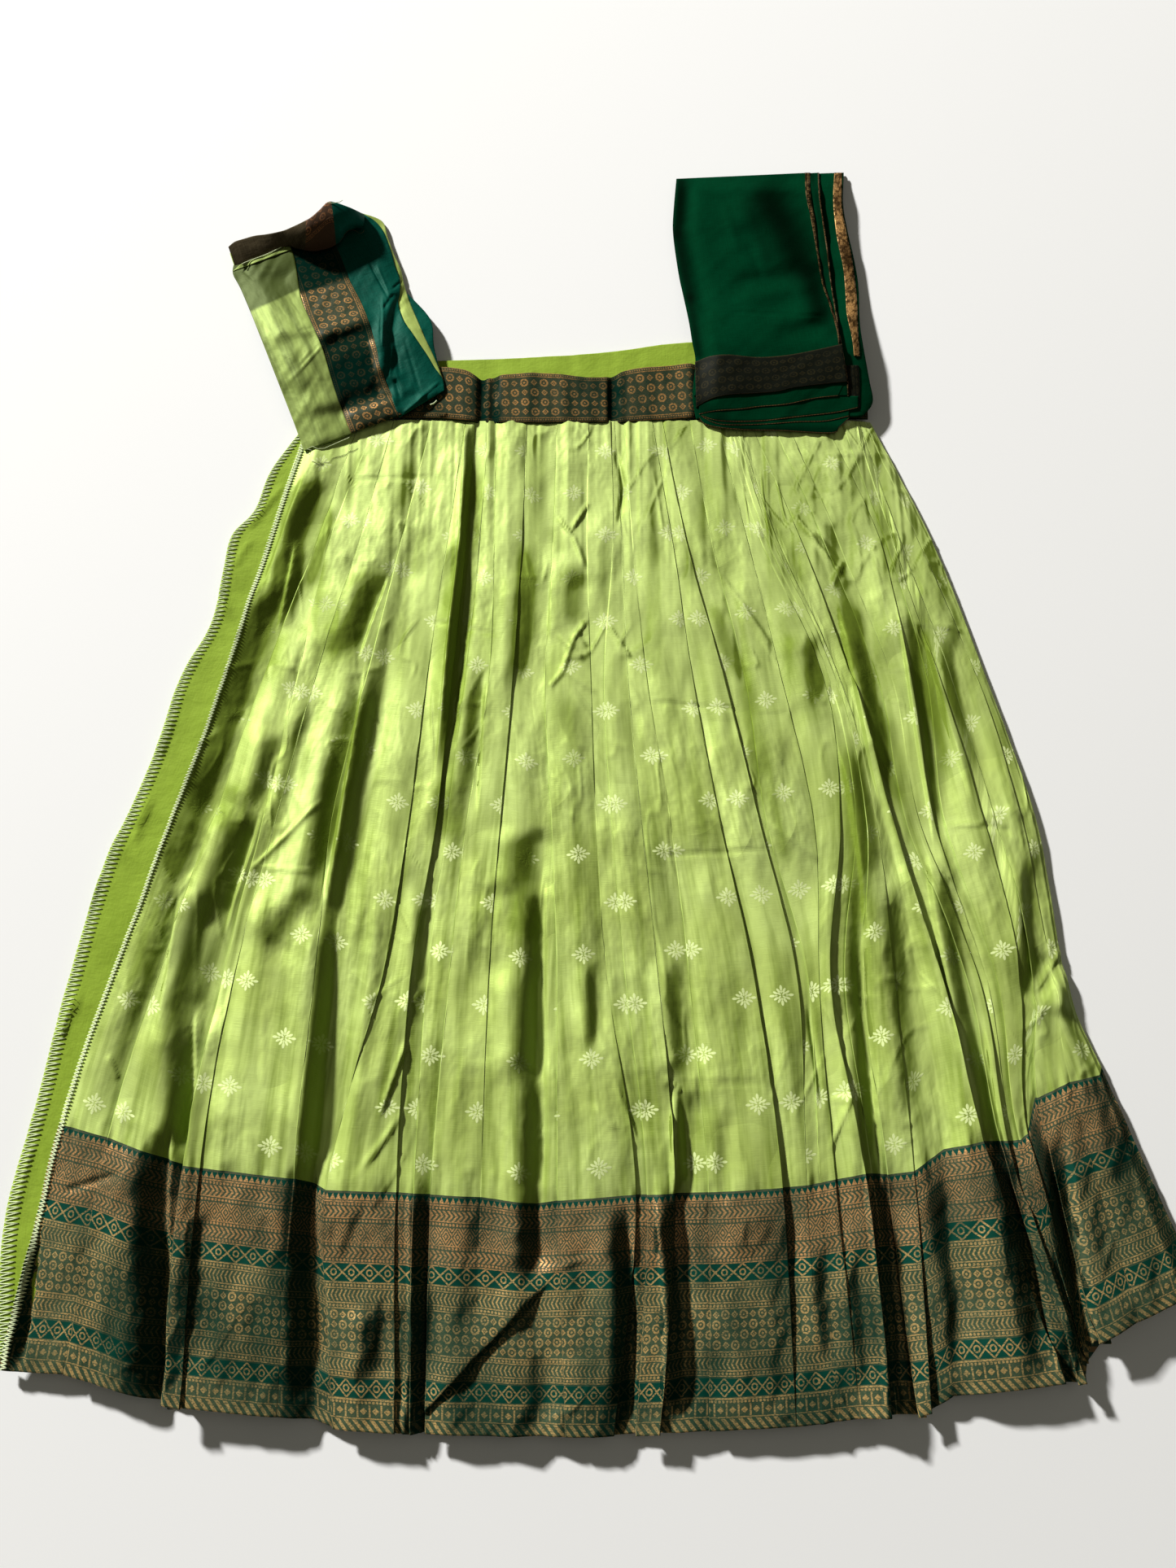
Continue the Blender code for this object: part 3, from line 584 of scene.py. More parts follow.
def creases(x, y, table):
    """What a table of creases adds at points of its frame: a height, or how much shade it paints."""
    total = np.zeros_like(x)
    for *ends, half, height, lean in table:
        along, aside = stroke(x, y, *ends)
        width = np.where(aside > 0, half, half * lean)
        fade = smooth((along + 0.12) / 0.3) * smooth((1.12 - along) / 0.3)
        total += height * fade * np.exp(-(aside / width) ** 2)
    return total


# %% Swells, listed one by one
# x and y of the start and of the end, half-width and height, all in mm, and the side that ends crisply at a
# fold: -1 left, 1 right, 0 neither. Those that end crisply run down the plan.
SWELLS = (
    (-290, 262, -318, 160, 13, 4.0, -1), (-320, 150, -372, -20, 16, 5.0, 0),
    (-372, -20, -405, -175, 16, 5.0, 0), (-294, 190, -303, 100, 11, 3.3, -1),
    (-309, -10, -322, -80, 11, 2.6, 0), (-338, -95, -360, -190, 20, 5.6, 1),
    (-368, -180, -378, -290, 19, 5.3, -1), (-378, -290, -375, -400, 13, 4.3, 1),
    (-222, 155, -240, 80, 14, 4.0, 1), (-212, 45, -236, -170, 12, 4.0, -1),
    (-245, -20, -262, -160, 13, 3.6, 1), (-262, -165, -305, -220, 17, 3.6, 0),
    (-247, -180, -248, -420, 14, 4.3, 0), (-280, 20, -302, -100, 8, 2.2, 0),
    (-122, 290, -140, 0, 7, 2.0, 0), (-114, 50, -118, -80, 12, 3.0, 1), (-158, -170, -160, -290, 8, 2.3, 0),
    (-60, 155, -64, 50, 16, 3.2, 0), (-24, 155, -22, 95, 16, 2.6, -1), (-62, -110, -64, -165, 16, 3.0, 0),
    (-62, -245, -58, -335, 18, 4.6, 1), (-52, -340, -48, -440, 12, 4.0, 1),
    (-50, -170, -52, -330, 10, 3.3, 1), (222, 90, 228, 20, 14, 2.6, 0), (268, 120, 292, -60, 13, 4.0, -1),
    (326, 110, 341, -100, 11, 3.3, -1), (355, 90, 382, -60, 14, 4.0, -1),
    (260, -30, 275, -160, 14, 3.6, -1), (232, -170, 232, -300, 11, 3.0, 0),
    (250, -170, 254, -420, 11, 4.3, 1), (283, -160, 298, -380, 16, 4.0, 0),
    (338, -140, 352, -300, 13, 4.3, -1), (357, -300, 368, -395, 11, 4.0, 1),
    (418, -140, 414, -240, 10, 3.3, 0), (425, -275, 445, -235, 12, 4.3, 0), (0, -240, 3, -310, 7, 2.6, 0),
    (75, -240, 85, -340, 11, 3.6, 0), (86, -355, 86, -440, 10, 4.0, -1), (120, -370, 118, -430, 8, 2.0, 0),
    (-395, -400, -380, -600, 17, 6.6, 1), (-262, -430, -245, -580, 18, 5.3, 1),
    (-350, -455, -345, -560, 10, 2.6, 0), (-150, -440, -147, -630, 10, 5.0, -1),
    (-50, -440, -52, -500, 10, 3.3, 0), (-190, -540, -190, -590, 11, 2.6, 0),
    (-40, -560, -38, -620, 10, 2.6, 0), (28, -460, 30, -620, 11, 5.0, 1), (72, -440, 76, -620, 11, 5.9, -1),
    (203, -490, 205, -570, 7, 2.0, 0), (232, -500, 236, -590, 7, 2.6, 0),
    (262, -425, 266, -620, 14, 6.6, -1), (312, -430, 318, -570, 14, 4.3, 0),
    (372, -400, 385, -580, 17, 6.6, 1), (418, -400, 425, -570, 14, 6.6, 1),
    (-495, -480, -497, -580, 8, 4.2, 1), (-205, -180, -225, -420, 7, -2.3, 0),
    (-125, 335, -128, 200, 6, 2.4, -1), (-128, 200, -141, -30, 7, 2.6, -1),
)
SWELL_SIZE, SWELL_REACH = 1.2, 4.5


def swells(x, y, table):
    """Height that a table of swells adds: full on one side of each line, hollow on the other."""
    total = np.zeros_like(x)
    for *ends, half, height, crisp in table:
        along, aside = stroke(x, y, *ends)
        off = 0.2 * ripple(x + half * 9, y, 400, 90, 21) - aside / half
        fade = smooth((along + 0.15) / 0.35) * smooth((1.15 - along) / 0.35)
        if crisp:
            fade = fade * (1 - smooth((off * crisp - 0.9) / 0.2))
        hill = np.where(np.abs(off) < SWELL_REACH, off * np.exp(0.5 - 0.5 * off * off), 0.0)
        total -= height * fade * hill
    return total


print("placed", len(CREASES), "creases and", len(SWELLS), "swells")

# %% [markdown]
# Between the placed creases the satin is never still. Waves run down it, gathers fan out from the band, the
# border's seam puckers, and the woven border has stiffer waves of its own. Small crumples come from lines
# where noise passes through zero, which are thin, crisp and never straight.

# %% Waves, gathers, puckers and crumples
# Rows for ripples: height in mm, slant, width and length in mm, and a seed.
WAVES = ((1.35, 0, 34, 170, 11), (0.8, 0.35, 26, 80, 12), (0.45, -0.2, 12, 60, 13), (0.25, 0.6, 9, 22, 14))
GATHERS = ((0.9, 0, 7, 260, 15), (0.45, 0, 3.6, 200, 16))
PUCKERS = ((1.5, 0, 5.5, 300, 17), (0.8, 0, 11, 300, 18))
BORDER_WAVES = ((1.6, 0, 22, 45, 19), (0.5, -0.4, 9, 16, 20))
# Slant, width and length in mm, and a seed.
CRUMPLES = ((0.6, 20, 40, 61), (-0.5, 24, 46, 62), (0.1, 18, 60, 63))
CRUMPLE_SIZE, CRUMPLE_SHARPNESS = 0.75, 4.5
WAVES_FROM, GATHER_LENGTH, PUCKER_LENGTH, BORDER_EASE = 60, 150, 13, 25
SEAM_DIP, SEAM_WIDTH = 0.6, 5.0


def crumples(x, y):
    """Crisp little ridges along the lines where slanting noise passes through zero, in some places."""
    total = np.zeros_like(x)
    for slant, across, down, seed in CRUMPLES:
        line = 1 - np.minimum(np.abs(ripple(x + slant * y, y, across, down, seed)) * CRUMPLE_SHARPNESS, 1)
        total += line ** 1.5 * smooth(2.0 * ripple(x, y, 60, 80, seed + 5) - 0.1)
    return total


def drape(x, y, waist_y, seam_y):
    """Waves, gathers, puckers and creases of the skirt's front at plan points, in mm."""
    down, from_seam = waist_y - y, np.abs(y - seam_y)
    waves = ripples(x, y, *WAVES) * smooth(down / WAVES_FROM)
    waves += ripples(x, y, *GATHERS) * np.exp(-np.maximum(down, 0) / GATHER_LENGTH)
    waves += ripples(x, y, *PUCKERS) * np.exp(-from_seam / PUCKER_LENGTH)
    waves -= SEAM_DIP * np.exp(-(from_seam / SEAM_WIDTH) ** 2)
    waves += ripples(x, y, *BORDER_WAVES) * smooth((seam_y - y) / BORDER_EASE)
    placed = CREASE_SIZE * creases(x, y, CREASES) + SWELL_SIZE * swells(x, y, SWELLS)
    return waves + (placed + CRUMPLE_SIZE * crumples(x, y)) * smooth(down / 10)


DIAGONAL, LEAST_SPACING = 0.7, 0.4


def away_from_lamp(points):
    """Slope of a sheet down away from the lamp at the upper left, below 0 where it faces the lamp."""
    x, y, z = points[..., 0], points[..., 1], points[..., 2]
    across = np.gradient(z, axis=1) / np.maximum(np.gradient(x, axis=1), LEAST_SPACING)
    along = np.gradient(z, axis=0) / np.maximum(-np.gradient(y, axis=0), LEAST_SPACING)
    return -DIAGONAL * (across + along)


# %% Turning arrays into a sheet of cloth
def cloth(name, points, lengths, material, shade_and_patches=None):
    """A sheet from an array of points, rows by columns, in plan mm, with its lengths as its UV map in m.

    The last argument gives, from 0 to 1 at each point, how much shade is painted into the colour, with random
    patches on some cloths.
    """
    rows, columns = points.shape[:2]
    mesh = bmesh.new()
    bmesh.ops.create_grid(mesh, x_segments=columns - 1, y_segments=rows - 1, size=1.0)
    data = bpy.data.meshes.new(name)
    mesh.to_mesh(data)
    mesh.free()
    flat = np.empty(len(data.vertices) * 3)
    data.vertices.foreach_get("co", flat)
    flat = flat.reshape(-1, 3)
    column = np.rint((flat[:, 0] + 1) / 2 * (columns - 1)).astype(int)
    row = np.rint((1 - flat[:, 1]) / 2 * (rows - 1)).astype(int)
    data.vertices.foreach_set("co", (points[row, column] * MM + PLAN_ORIGIN).ravel())
    corner = np.empty(len(data.loops), int)
    data.loops.foreach_get("vertex_index", corner)
    uv = data.uv_layers.new(name="cloth")
    uv.data.foreach_set("uv", lengths[row, column][corner].ravel())
    if shade_and_patches is not None:
        data.attributes.new("shade_and_patches", "FLOAT", "POINT").data.foreach_set("value", shade_and_patches[row, column].ravel())
    data.update()
    return show(name, data, material)


def show(name, data, material):
    """Link a mesh as a piece of the set that rides on its one body."""
    piece = bpy.data.objects.new(name, data)
    bpy.context.scene.collection.objects.link(piece)
    data.materials.append(material)
    data.shade_smooth()
    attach(piece, "root")
    print(name, "has", len(data.polygons), "faces")
    return piece


def path_length(points, axis):
    """Length along rows or columns of an array of points, from its first one."""
    steps = np.linalg.norm(np.diff(points, axis=axis), axis=2)
    start = np.zeros_like(np.take(steps, [0], axis=axis))
    return np.concatenate([start, np.cumsum(steps, axis=axis)], axis=axis)


# %% [markdown]
# A pattern has to follow the cloth, so it is laid out by the cloth's own lengths. A leaf is the stretch of
# cloth between two laps. Its middle column keeps one place in the weave from the waist to the hem, and the
# rest of the leaf is measured from there, so the buttas stand in straight columns on each pleat, and the laps
# take up what is hidden.


# %% The cloth's own lengths
# Buttas that the eye can count, x and y in plan mm: each pleat's pattern is shifted to meet its own.
SEEN_BUTTAS = (
    (-290, -395), (-332, -345), (-278, -305), (-318, -248), (-268, -210), (-218, -410), (-185, -363),
    (-142, -320), (-173, -273), (-143, -222), (-210, -170), (-96, -372), (-98, -275), (-95, -177),
    (-57, -423), (-58, -325), (10, -415), (52, -367), (3, -324), (45, -273), (95, -415), (137, -364),
    (191, -360), (175, -265), (128, -270), (92, -70), (62, -18), (76, 40), (50, 93), (63, 154), (50, 273),
    (95, 275), (-165, 275), (-185, 160), (-270, 115), (-285, -45), (-200, -60), (-150, -75), (-65, -20),
    (-65, -130), (262, 150), (218, 250), (200, 125), (290, 98), (325, -10), (-190, 45), (-120, 90),
    (270, -190), (372, 10), (-405, -275), (-450, -365), (455, -310), (345, -385),
)
COLUMN_MM, ROW_MM, FIRST_MM = BUTTA_ACROSS / MM, BUTTA_DOWN / MM, BUTTA_FIRST / MM


def meet_buttas(points, columns, across, down):
    """How far a leaf's pattern moves sideways, in mm, so that it meets the buttas seen on it."""
    shifts = []
    for x, y in SEEN_BUTTAS:
        row = np.abs(points[:, columns[len(columns) // 2], 1] - y).argmin()
        place = points[row, columns, 0]
        if len(columns) < 2 or not place[0] <= x <= place[-1]:
            continue
        here = np.interp(x, place, across[row, columns])
        above = (np.interp(x, place, down[row, columns]) - FIRST_MM) / ROW_MM
        odd = int(np.rint(above * 2)) % 2
        move = ((odd + 0.5) * COLUMN_MM - here) % (2 * COLUMN_MM)
        shifts.append(np.exp(2j * np.pi * move / (2 * COLUMN_MM)))
    return np.angle(np.sum(shifts)) / np.pi * COLUMN_MM if shifts else 0.0


def woven_lengths(points, hidden, anchor_row, down=None):
    """Lengths across in metres for a pleated sheet, leaf by leaf, measured along its anchor row."""
    across = path_length(points, 1)
    visible = np.flatnonzero(~hidden)
    breaks = np.flatnonzero(np.diff(visible) > 1)
    leaves = np.split(visible, breaks + 1)
    result = np.zeros_like(across)
    known = np.zeros(across.shape[1], bool)
    for leaf in leaves:
        middle = leaf[len(leaf) // 2]
        result[:, leaf] = across[anchor_row, middle] + across[:, leaf] - across[:, [middle]]
        if down is not None:
            result[:, leaf] += meet_buttas(points, leaf, result, down)
        known[leaf] = True
    columns = np.arange(across.shape[1])
    for r in range(len(result)):
        result[r] = np.interp(columns, columns[known], result[r, known])
    return result * MM


# %% Skirt front and border: their points
BORDER_HEIGHT = 0.185
BODY_ROWS, BORDER_ROWS = 260, 76
LIFT, LIFT_EDGE, EDGE_SHARE = 3.0, 22.0, 0.25
SOFT_FLOOR = 1.6
body_stations = np.linspace(0, SEAM_STATION, BODY_ROWS)
border_stations = np.linspace(SEAM_STATION, HEM_STATION, BORDER_ROWS)
body_x, body_y, body_z, hidden = pleated(body_stations)
border_x, border_y, border_z, _ = pleated(border_stations)
seam_y, waist_y = body_y[-1], body_y[0]


def draped(x, y, z):
    """Points of the front, lifted off the layer below, less at its sides; its dips rest softly on it."""
    inward = np.minimum(x - x[:, :1], x[:, -1:] - x)
    z = z + drape(x, y, waist_y, seam_y) + LIFT * smooth(EDGE_SHARE + (1 - EDGE_SHARE) * inward / LIFT_EDGE)
    z = np.where(z > SOFT_FLOOR, z, SOFT_FLOOR * np.exp(np.minimum(z / SOFT_FLOOR - 1, 0)))
    return np.dstack([x, y, FRONT_LEVEL + z])


body, border = draped(body_x, body_y, body_z), draped(border_x, border_y, border_z)
plain_body = np.dstack([body_x, body_y, body_z])
plain_border = np.dstack([border_x, border_y, border_z])
print("columns", body.shape[1], "front width at the seam", round(path_length(plain_body, 1)[-1, -1]), "mm")

down_body = path_length(plain_body[::-1], 0)[::-1]
across_body = woven_lengths(plain_body, hidden, -1, down_body)
across_border = woven_lengths(plain_border, hidden, 0)
down_border = path_length(plain_border, 0)
down_border *= BORDER_HEIGHT / down_border[-1]

# %% [markdown]
# The closed right edge and the hem are turned under, so that no raw edge shows. Three more columns, or rows,
# go out and down, straight down, and back under the cloth.

# %% Turning an edge under
# How far each new column goes out, or each new row goes up the plan, and how far down, in mm.
SIDE_TURN = ((1.0, 1.0), (1.2, 2.2), (-3.0, 3.4))
HEM_TURN = ((-0.7, 0.7), (0.0, 1.5), (7.0, 1.8))
LOWEST = 0.2


def turned_in(points, lengths, shade_and_patches, at_hem=False):
    """Turn a sheet's right edge, and its hem if asked, under; lengths and painted shade keep the edge's own.
    """
    side = [points[:, -1:] + (out, 0.0, -drop) for out, drop in SIDE_TURN]
    points = np.concatenate([points, *side], axis=1)
    if at_hem:
        foot = [points[-1:] + (0.0, up, -drop) for up, drop in HEM_TURN]
        points = np.concatenate([points, *foot], axis=0)
    grown = ((0, len(HEM_TURN) * at_hem), (0, len(SIDE_TURN)))
    points[..., 2] = np.maximum(points[..., 2], LOWEST)
    return points, np.pad(lengths, (*grown, (0, 0)), mode="edge"), np.pad(shade_and_patches, grown, mode="edge")


# %% [markdown]
# Shade is painted into the satin's colour. Where it slopes from the lamp it turns a deeper olive, and in the
# upper half small slopes already do that. Where it tips steeply to the lamp it is painted a little darker too,
# which tones down its highlights. A pleat that leans from the lamp as a whole gets more painted shade, and
# those pleats are listed one by one; the upper half also has random darker patches.

# %% Where shade is painted into the skirt's satin
# Side away from the lamp 1 or to it -1; how much shade is painted, and from which slope, in the lower half and
# in the upper; and the slope over which it grows.
SHADE_BY_SLOPE = ((1, (0.8, 0.8), (0.12, 0.05), 0.22), (-1, (0.3, 0.55), (0.16, 0.04), 0.24))
MIDDLE_Y, MIDDLE_EASE = -60, 120
LEANING_SHADE_SIZE, LEANING_SHADE_MOST = 1.9, 0.8
# x and y of the upper end and of the lower, half-width, how much shade is painted, and how much of the
# half-width there is on the right.
LEANING_SHADE = (
    (-300, 270, -330, 165, 9, 0.3, 1.0), (-290, 262, -320, 160, 13, 0.6, 1.0),
    (-320, 170, -368, 0, 17, 0.7, 1.0), (-366, 10, -400, -150, 15, 0.7, 1.0),
    (-400, -150, -425, -260, 10, 0.4, 1.0), (-268, 235, -285, 150, 7, 0.5, 1.0),
    (-215, 170, -250, 65, 17, 0.55, 0.7), (-228, 30, -250, -130, 12, 0.6, 0.7),
    (-172, 215, -176, 160, 12, 0.2, 1.0), (-118, 285, -132, 60, 9, 0.5, 1.0),
    (-130, 60, -142, -100, 10, 0.45, 1.0), (-62, 190, -66, 70, 14, 0.65, 0.7),
    (-18, 170, -16, 110, 12, 0.5, 1.0), (-20, 30, -14, -60, 13, 0.25, 1.0),
    (-38, 215, -30, 185, 8, 0.2, 1.0), (125, 130, 150, 50, 8, 0.5, 1.0), (152, 50, 172, -60, 9, 0.5, 1.0),
    (172, -60, 190, -140, 8, 0.4, 1.0), (226, 60, 228, 0, 13, 0.25, 1.0), (262, 130, 285, 30, 14, 0.5, 0.7),
    (285, 30, 302, -80, 9, 0.6, 1.0), (335, 120, 350, -60, 9, 0.5, 1.0),
    (-70, -115, -66, -210, 13, 0.6, 1.0), (255, -20, 260, -200, 10, 0.6, 1.0),
    (300, 240, 322, 130, 10, 0.2, 1.0), (-345, -60, -352, -110, 12, 0.5, 1.0),
    (-290, -10, -296, -70, 12, 0.2, 1.0), (-140, -60, -132, -115, 10, 0.4, 1.0),
    (-190, 290, -200, 235, 7, 0.25, 1.0), (-236, 300, -258, 240, 10, 0.3, 1.0),
    (60, 250, 70, 170, 6, 0.2, 1.0), (190, 230, 215, 150, 8, 0.2, 1.0), (100, -40, 112, -120, 10, 0.2, 1.0),
    (-100, 40, -104, -40, 8, 0.2, 1.0),
)
body_slope = away_from_lamp(body)
upper_half = smooth((body_y - MIDDLE_Y) / MIDDLE_EASE)
# Random darker patches in the upper half, then painted shade by slope and along the leaning pleats.
body_shade_and_patches = np.clip(0.75 * ripple(body_x, body_y, 17, 85, 92) - 0.1, 0, 0.4) * upper_half
for side, depth, begin, growth in SHADE_BY_SLOPE:
    body_shade_and_patches += lerp(*depth, upper_half) * smooth((side * body_slope - lerp(*begin, upper_half)) / growth)
leaning_shade = creases(body_x + 4 * ripple(body_x, body_y, 20, 26, 91), body_y, LEANING_SHADE)
body_shade_and_patches += np.minimum(LEANING_SHADE_SIZE * leaning_shade, LEANING_SHADE_MOST)
# How much of the satin carries painted shade and patches, on the whole.
print("the satin is", round(100 * np.clip(body_shade_and_patches, 0, 1).mean()), "percent dull on the whole")

# %% Skirt front, from under the band to the border's seam
body_points, body_lengths, body_shade_and_patches = turned_in(body, np.dstack([across_body, down_body * MM]), body_shade_and_patches)
skirt = cloth("skirt_front_satin", body_points, body_lengths, lime_satin, body_shade_and_patches)
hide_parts("skirt_front")

# %% [markdown]
# The border is a figured zari weave: antique gold thread floats on a dark teal ground. It is woven in bands
# that run level round the hem, and each band is one simple repeat: lines, dots, arrows, diamonds, a lattice,
# ring flowers, lozenges or teeth. A table charts the bands from the seam down. Gold thread is part metal, so
# it flashes where a pleat faces the lamp; where the weave slopes from the lamp, shade is painted in, so that
# its gold is taken out and its ground darkened.

# %% Figures of the woven bands
# A line has no repeat of its own. Most dots are 3.2 mm apart.
LINE, DOTS = ("line", 9.0), ("dots", 3.2)
# Each band's start and end as shares of the border's height, its figure and its repeat in mm.
BORDER_BANDS = (
    (0.010, 0.038, "teeth", 5.3), (0.042, 0.048, *LINE), (0.050, 0.063, *DOTS),
    (0.067, 0.113, "arrows", 4.5), (0.113, 0.118, *LINE), (0.120, 0.137, *DOTS),
    (0.141, 0.218, "diamonds", 10.6), (0.218, 0.223, *LINE), (0.224, 0.238, *DOTS),
    (0.243, 0.289, "arrows", 4.5), (0.290, 0.306, *DOTS), (0.307, 0.312, *LINE),
    (0.313, 0.387, "lattice", 16.0), (0.390, 0.396, *LINE), (0.398, 0.412, *DOTS),
    (0.414, 0.419, *LINE), (0.423, 0.472, "leaves", 3.8), (0.475, 0.481, *LINE),
    (0.484, 0.497, *DOTS), (0.499, 0.504, *LINE), (0.507, 0.676, "rings", 16.0),
    (0.680, 0.686, *LINE), (0.688, 0.700, *DOTS), (0.701, 0.706, *LINE),
    (0.711, 0.754, "leaves", 3.8), (0.757, 0.763, *LINE), (0.765, 0.779, *DOTS),
    (0.780, 0.785, *LINE), (0.792, 0.866, "lattice", 13.0), (0.870, 0.878, *LINE),
    (0.880, 0.891, *DOTS), (0.894, 0.944, "lozenges", 10.3), (0.946, 0.951, *LINE),
    (0.954, 1.060, "arrows", 7.5),
)
# Bands of the waist's strip, which the blouse piece and the dupatta also carry.
STRIP_HEIGHT = 0.056
STRIP_BANDS = (
    (0.0, 0.020, *LINE), (0.03, 0.065, "dots", 2.6), (0.075, 0.095, *LINE),
    (0.11, 0.89, "flowers", 21.2),
    (0.905, 0.925, *LINE), (0.935, 0.97, "dots", 2.6), (0.98, 1.0, *LINE),
)
# The dupatta's band, which is as wide as the strip, its lace and its narrow edging, with their widths.
VONI_BANDS = ((0.0, 0.03, *LINE), (0.07, 0.93, "flowers", 19.0), (0.97, 1.0, *LINE))
LACE_WIDTH, EDGING_WIDTH = 0.010, 0.005
LACE_BANDS = ((0.0, 0.1, *LINE), (0.12, 0.88, "rings", 7.0), (0.9, 1.0, *LINE))
EDGING_BANDS = ((0.0, 0.12, *LINE), (0.2, 0.8, "dots", 3.0), (0.88, 1.0, *LINE))


def ring_rows(tree, u, down, pitch, row_pitch, radius):
    """Rows of ring flowers, every second row half a step along, with a dot in each and dots between them."""
    row = add(tree, "Math DIVIDE", down, row_pitch)
    odd = add(tree, "Math FLOORED_MODULO", add(tree, "Math FLOOR", row), 2.0)
    shifted = add(tree, "Math MULTIPLY_ADD", odd, pitch / 2, u)
    p = add(tree, "Math PINGPONG", shifted, pitch / 2)
    q = add(tree, "Math SUBTRACT", add(tree, "Math FRACT", row), 0.5)
    q = add(tree, "Math MULTIPLY", q, row_pitch)
    far = add(tree, "VectorMath LENGTH", add(tree, "CombineXYZ", p, q, 0.0), out=1)
    ring = add(tree, "Math COMPARE", far, radius, radius * 0.27)
    heart = add(tree, "Math LESS_THAN", far, radius * 0.36)
    back = add(tree, "Math SUBTRACT", pitch / 2, p)
    q_size = add(tree, "Math ABSOLUTE", q)
    cross = add(tree, "Math ADD", back, q_size)
    leaf = add(tree, "Math COMPARE", cross, radius * 0.75, radius * 0.28)
    seed = add(tree, "Math LESS_THAN", cross, radius * 0.25)
    return add(tree, "Math MAXIMUM", add(tree, "Math MAXIMUM", ring, heart),
               add(tree, "Math MAXIMUM", leaf, seed))


def figure(tree, kind, u, down, pitch, height):
    """One band's figure, 0 or 1, from mm along, mm down from its start, its repeat and its height."""
    p = add(tree, "Math PINGPONG", u, pitch / 2)
    q = add(tree, "Math ABSOLUTE", add(tree, "Math SUBTRACT", down, height / 2))
    if kind == "line":
        return add(tree, "Math LESS_THAN", q, height)
    if kind == "dots":
        far = add(tree, "VectorMath LENGTH", add(tree, "CombineXYZ", p, q, 0.0), out=1)
        return add(tree, "Math LESS_THAN", far, 0.36 * pitch)
    if kind in ("arrows", "leaves"):
        slope, share = (0.9, 0.52) if kind == "arrows" else (-0.55, 0.42)
        turn = add(tree, "Math MULTIPLY_ADD", q, slope, u)
        turn = add(tree, "Math DIVIDE", turn, pitch)
        return add(tree, "Math LESS_THAN", add(tree, "Math FRACT", turn), share)
    if kind == "rings":
        return ring_rows(tree, u, down, pitch, height / 4, 3.0)
    if kind == "flowers":
        return ring_rows(tree, u, down, pitch, height / 4, 3.6)
    if kind == "teeth":
        rise = add(tree, "Math SUBTRACT", add(tree, "Math MULTIPLY", down, pitch / 2 / height), p)
        return add(tree, "Math GREATER_THAN", rise, 0.0)
    slant = add(tree, "Math ADD", add(tree, "Math MULTIPLY", q, pitch / height), p)
    if kind == "diamonds":
        rings = add(tree, "Math FRACT", add(tree, "Math DIVIDE", slant, pitch / 4))
        return add(tree, "Math LESS_THAN", rings, 0.55)
    if kind == "lozenges":
        bar = add(tree, "Math GREATER_THAN", p, 0.42 * pitch)
        return add(tree, "Math MAXIMUM", bar, add(tree, "Math LESS_THAN", slant, 0.3 * pitch))
    lines = add(tree, "Math COMPARE", slant, pitch / 2, pitch * 0.07)
    far = add(tree, "VectorMath LENGTH", add(tree, "CombineXYZ", p, q, 0.0), out=1)
    ring = add(tree, "Math COMPARE", far, 2.3, 0.7)
    return add(tree, "Math MAXIMUM", lines, ring)


CLEAR_KINDS = ("lattice", "teeth")


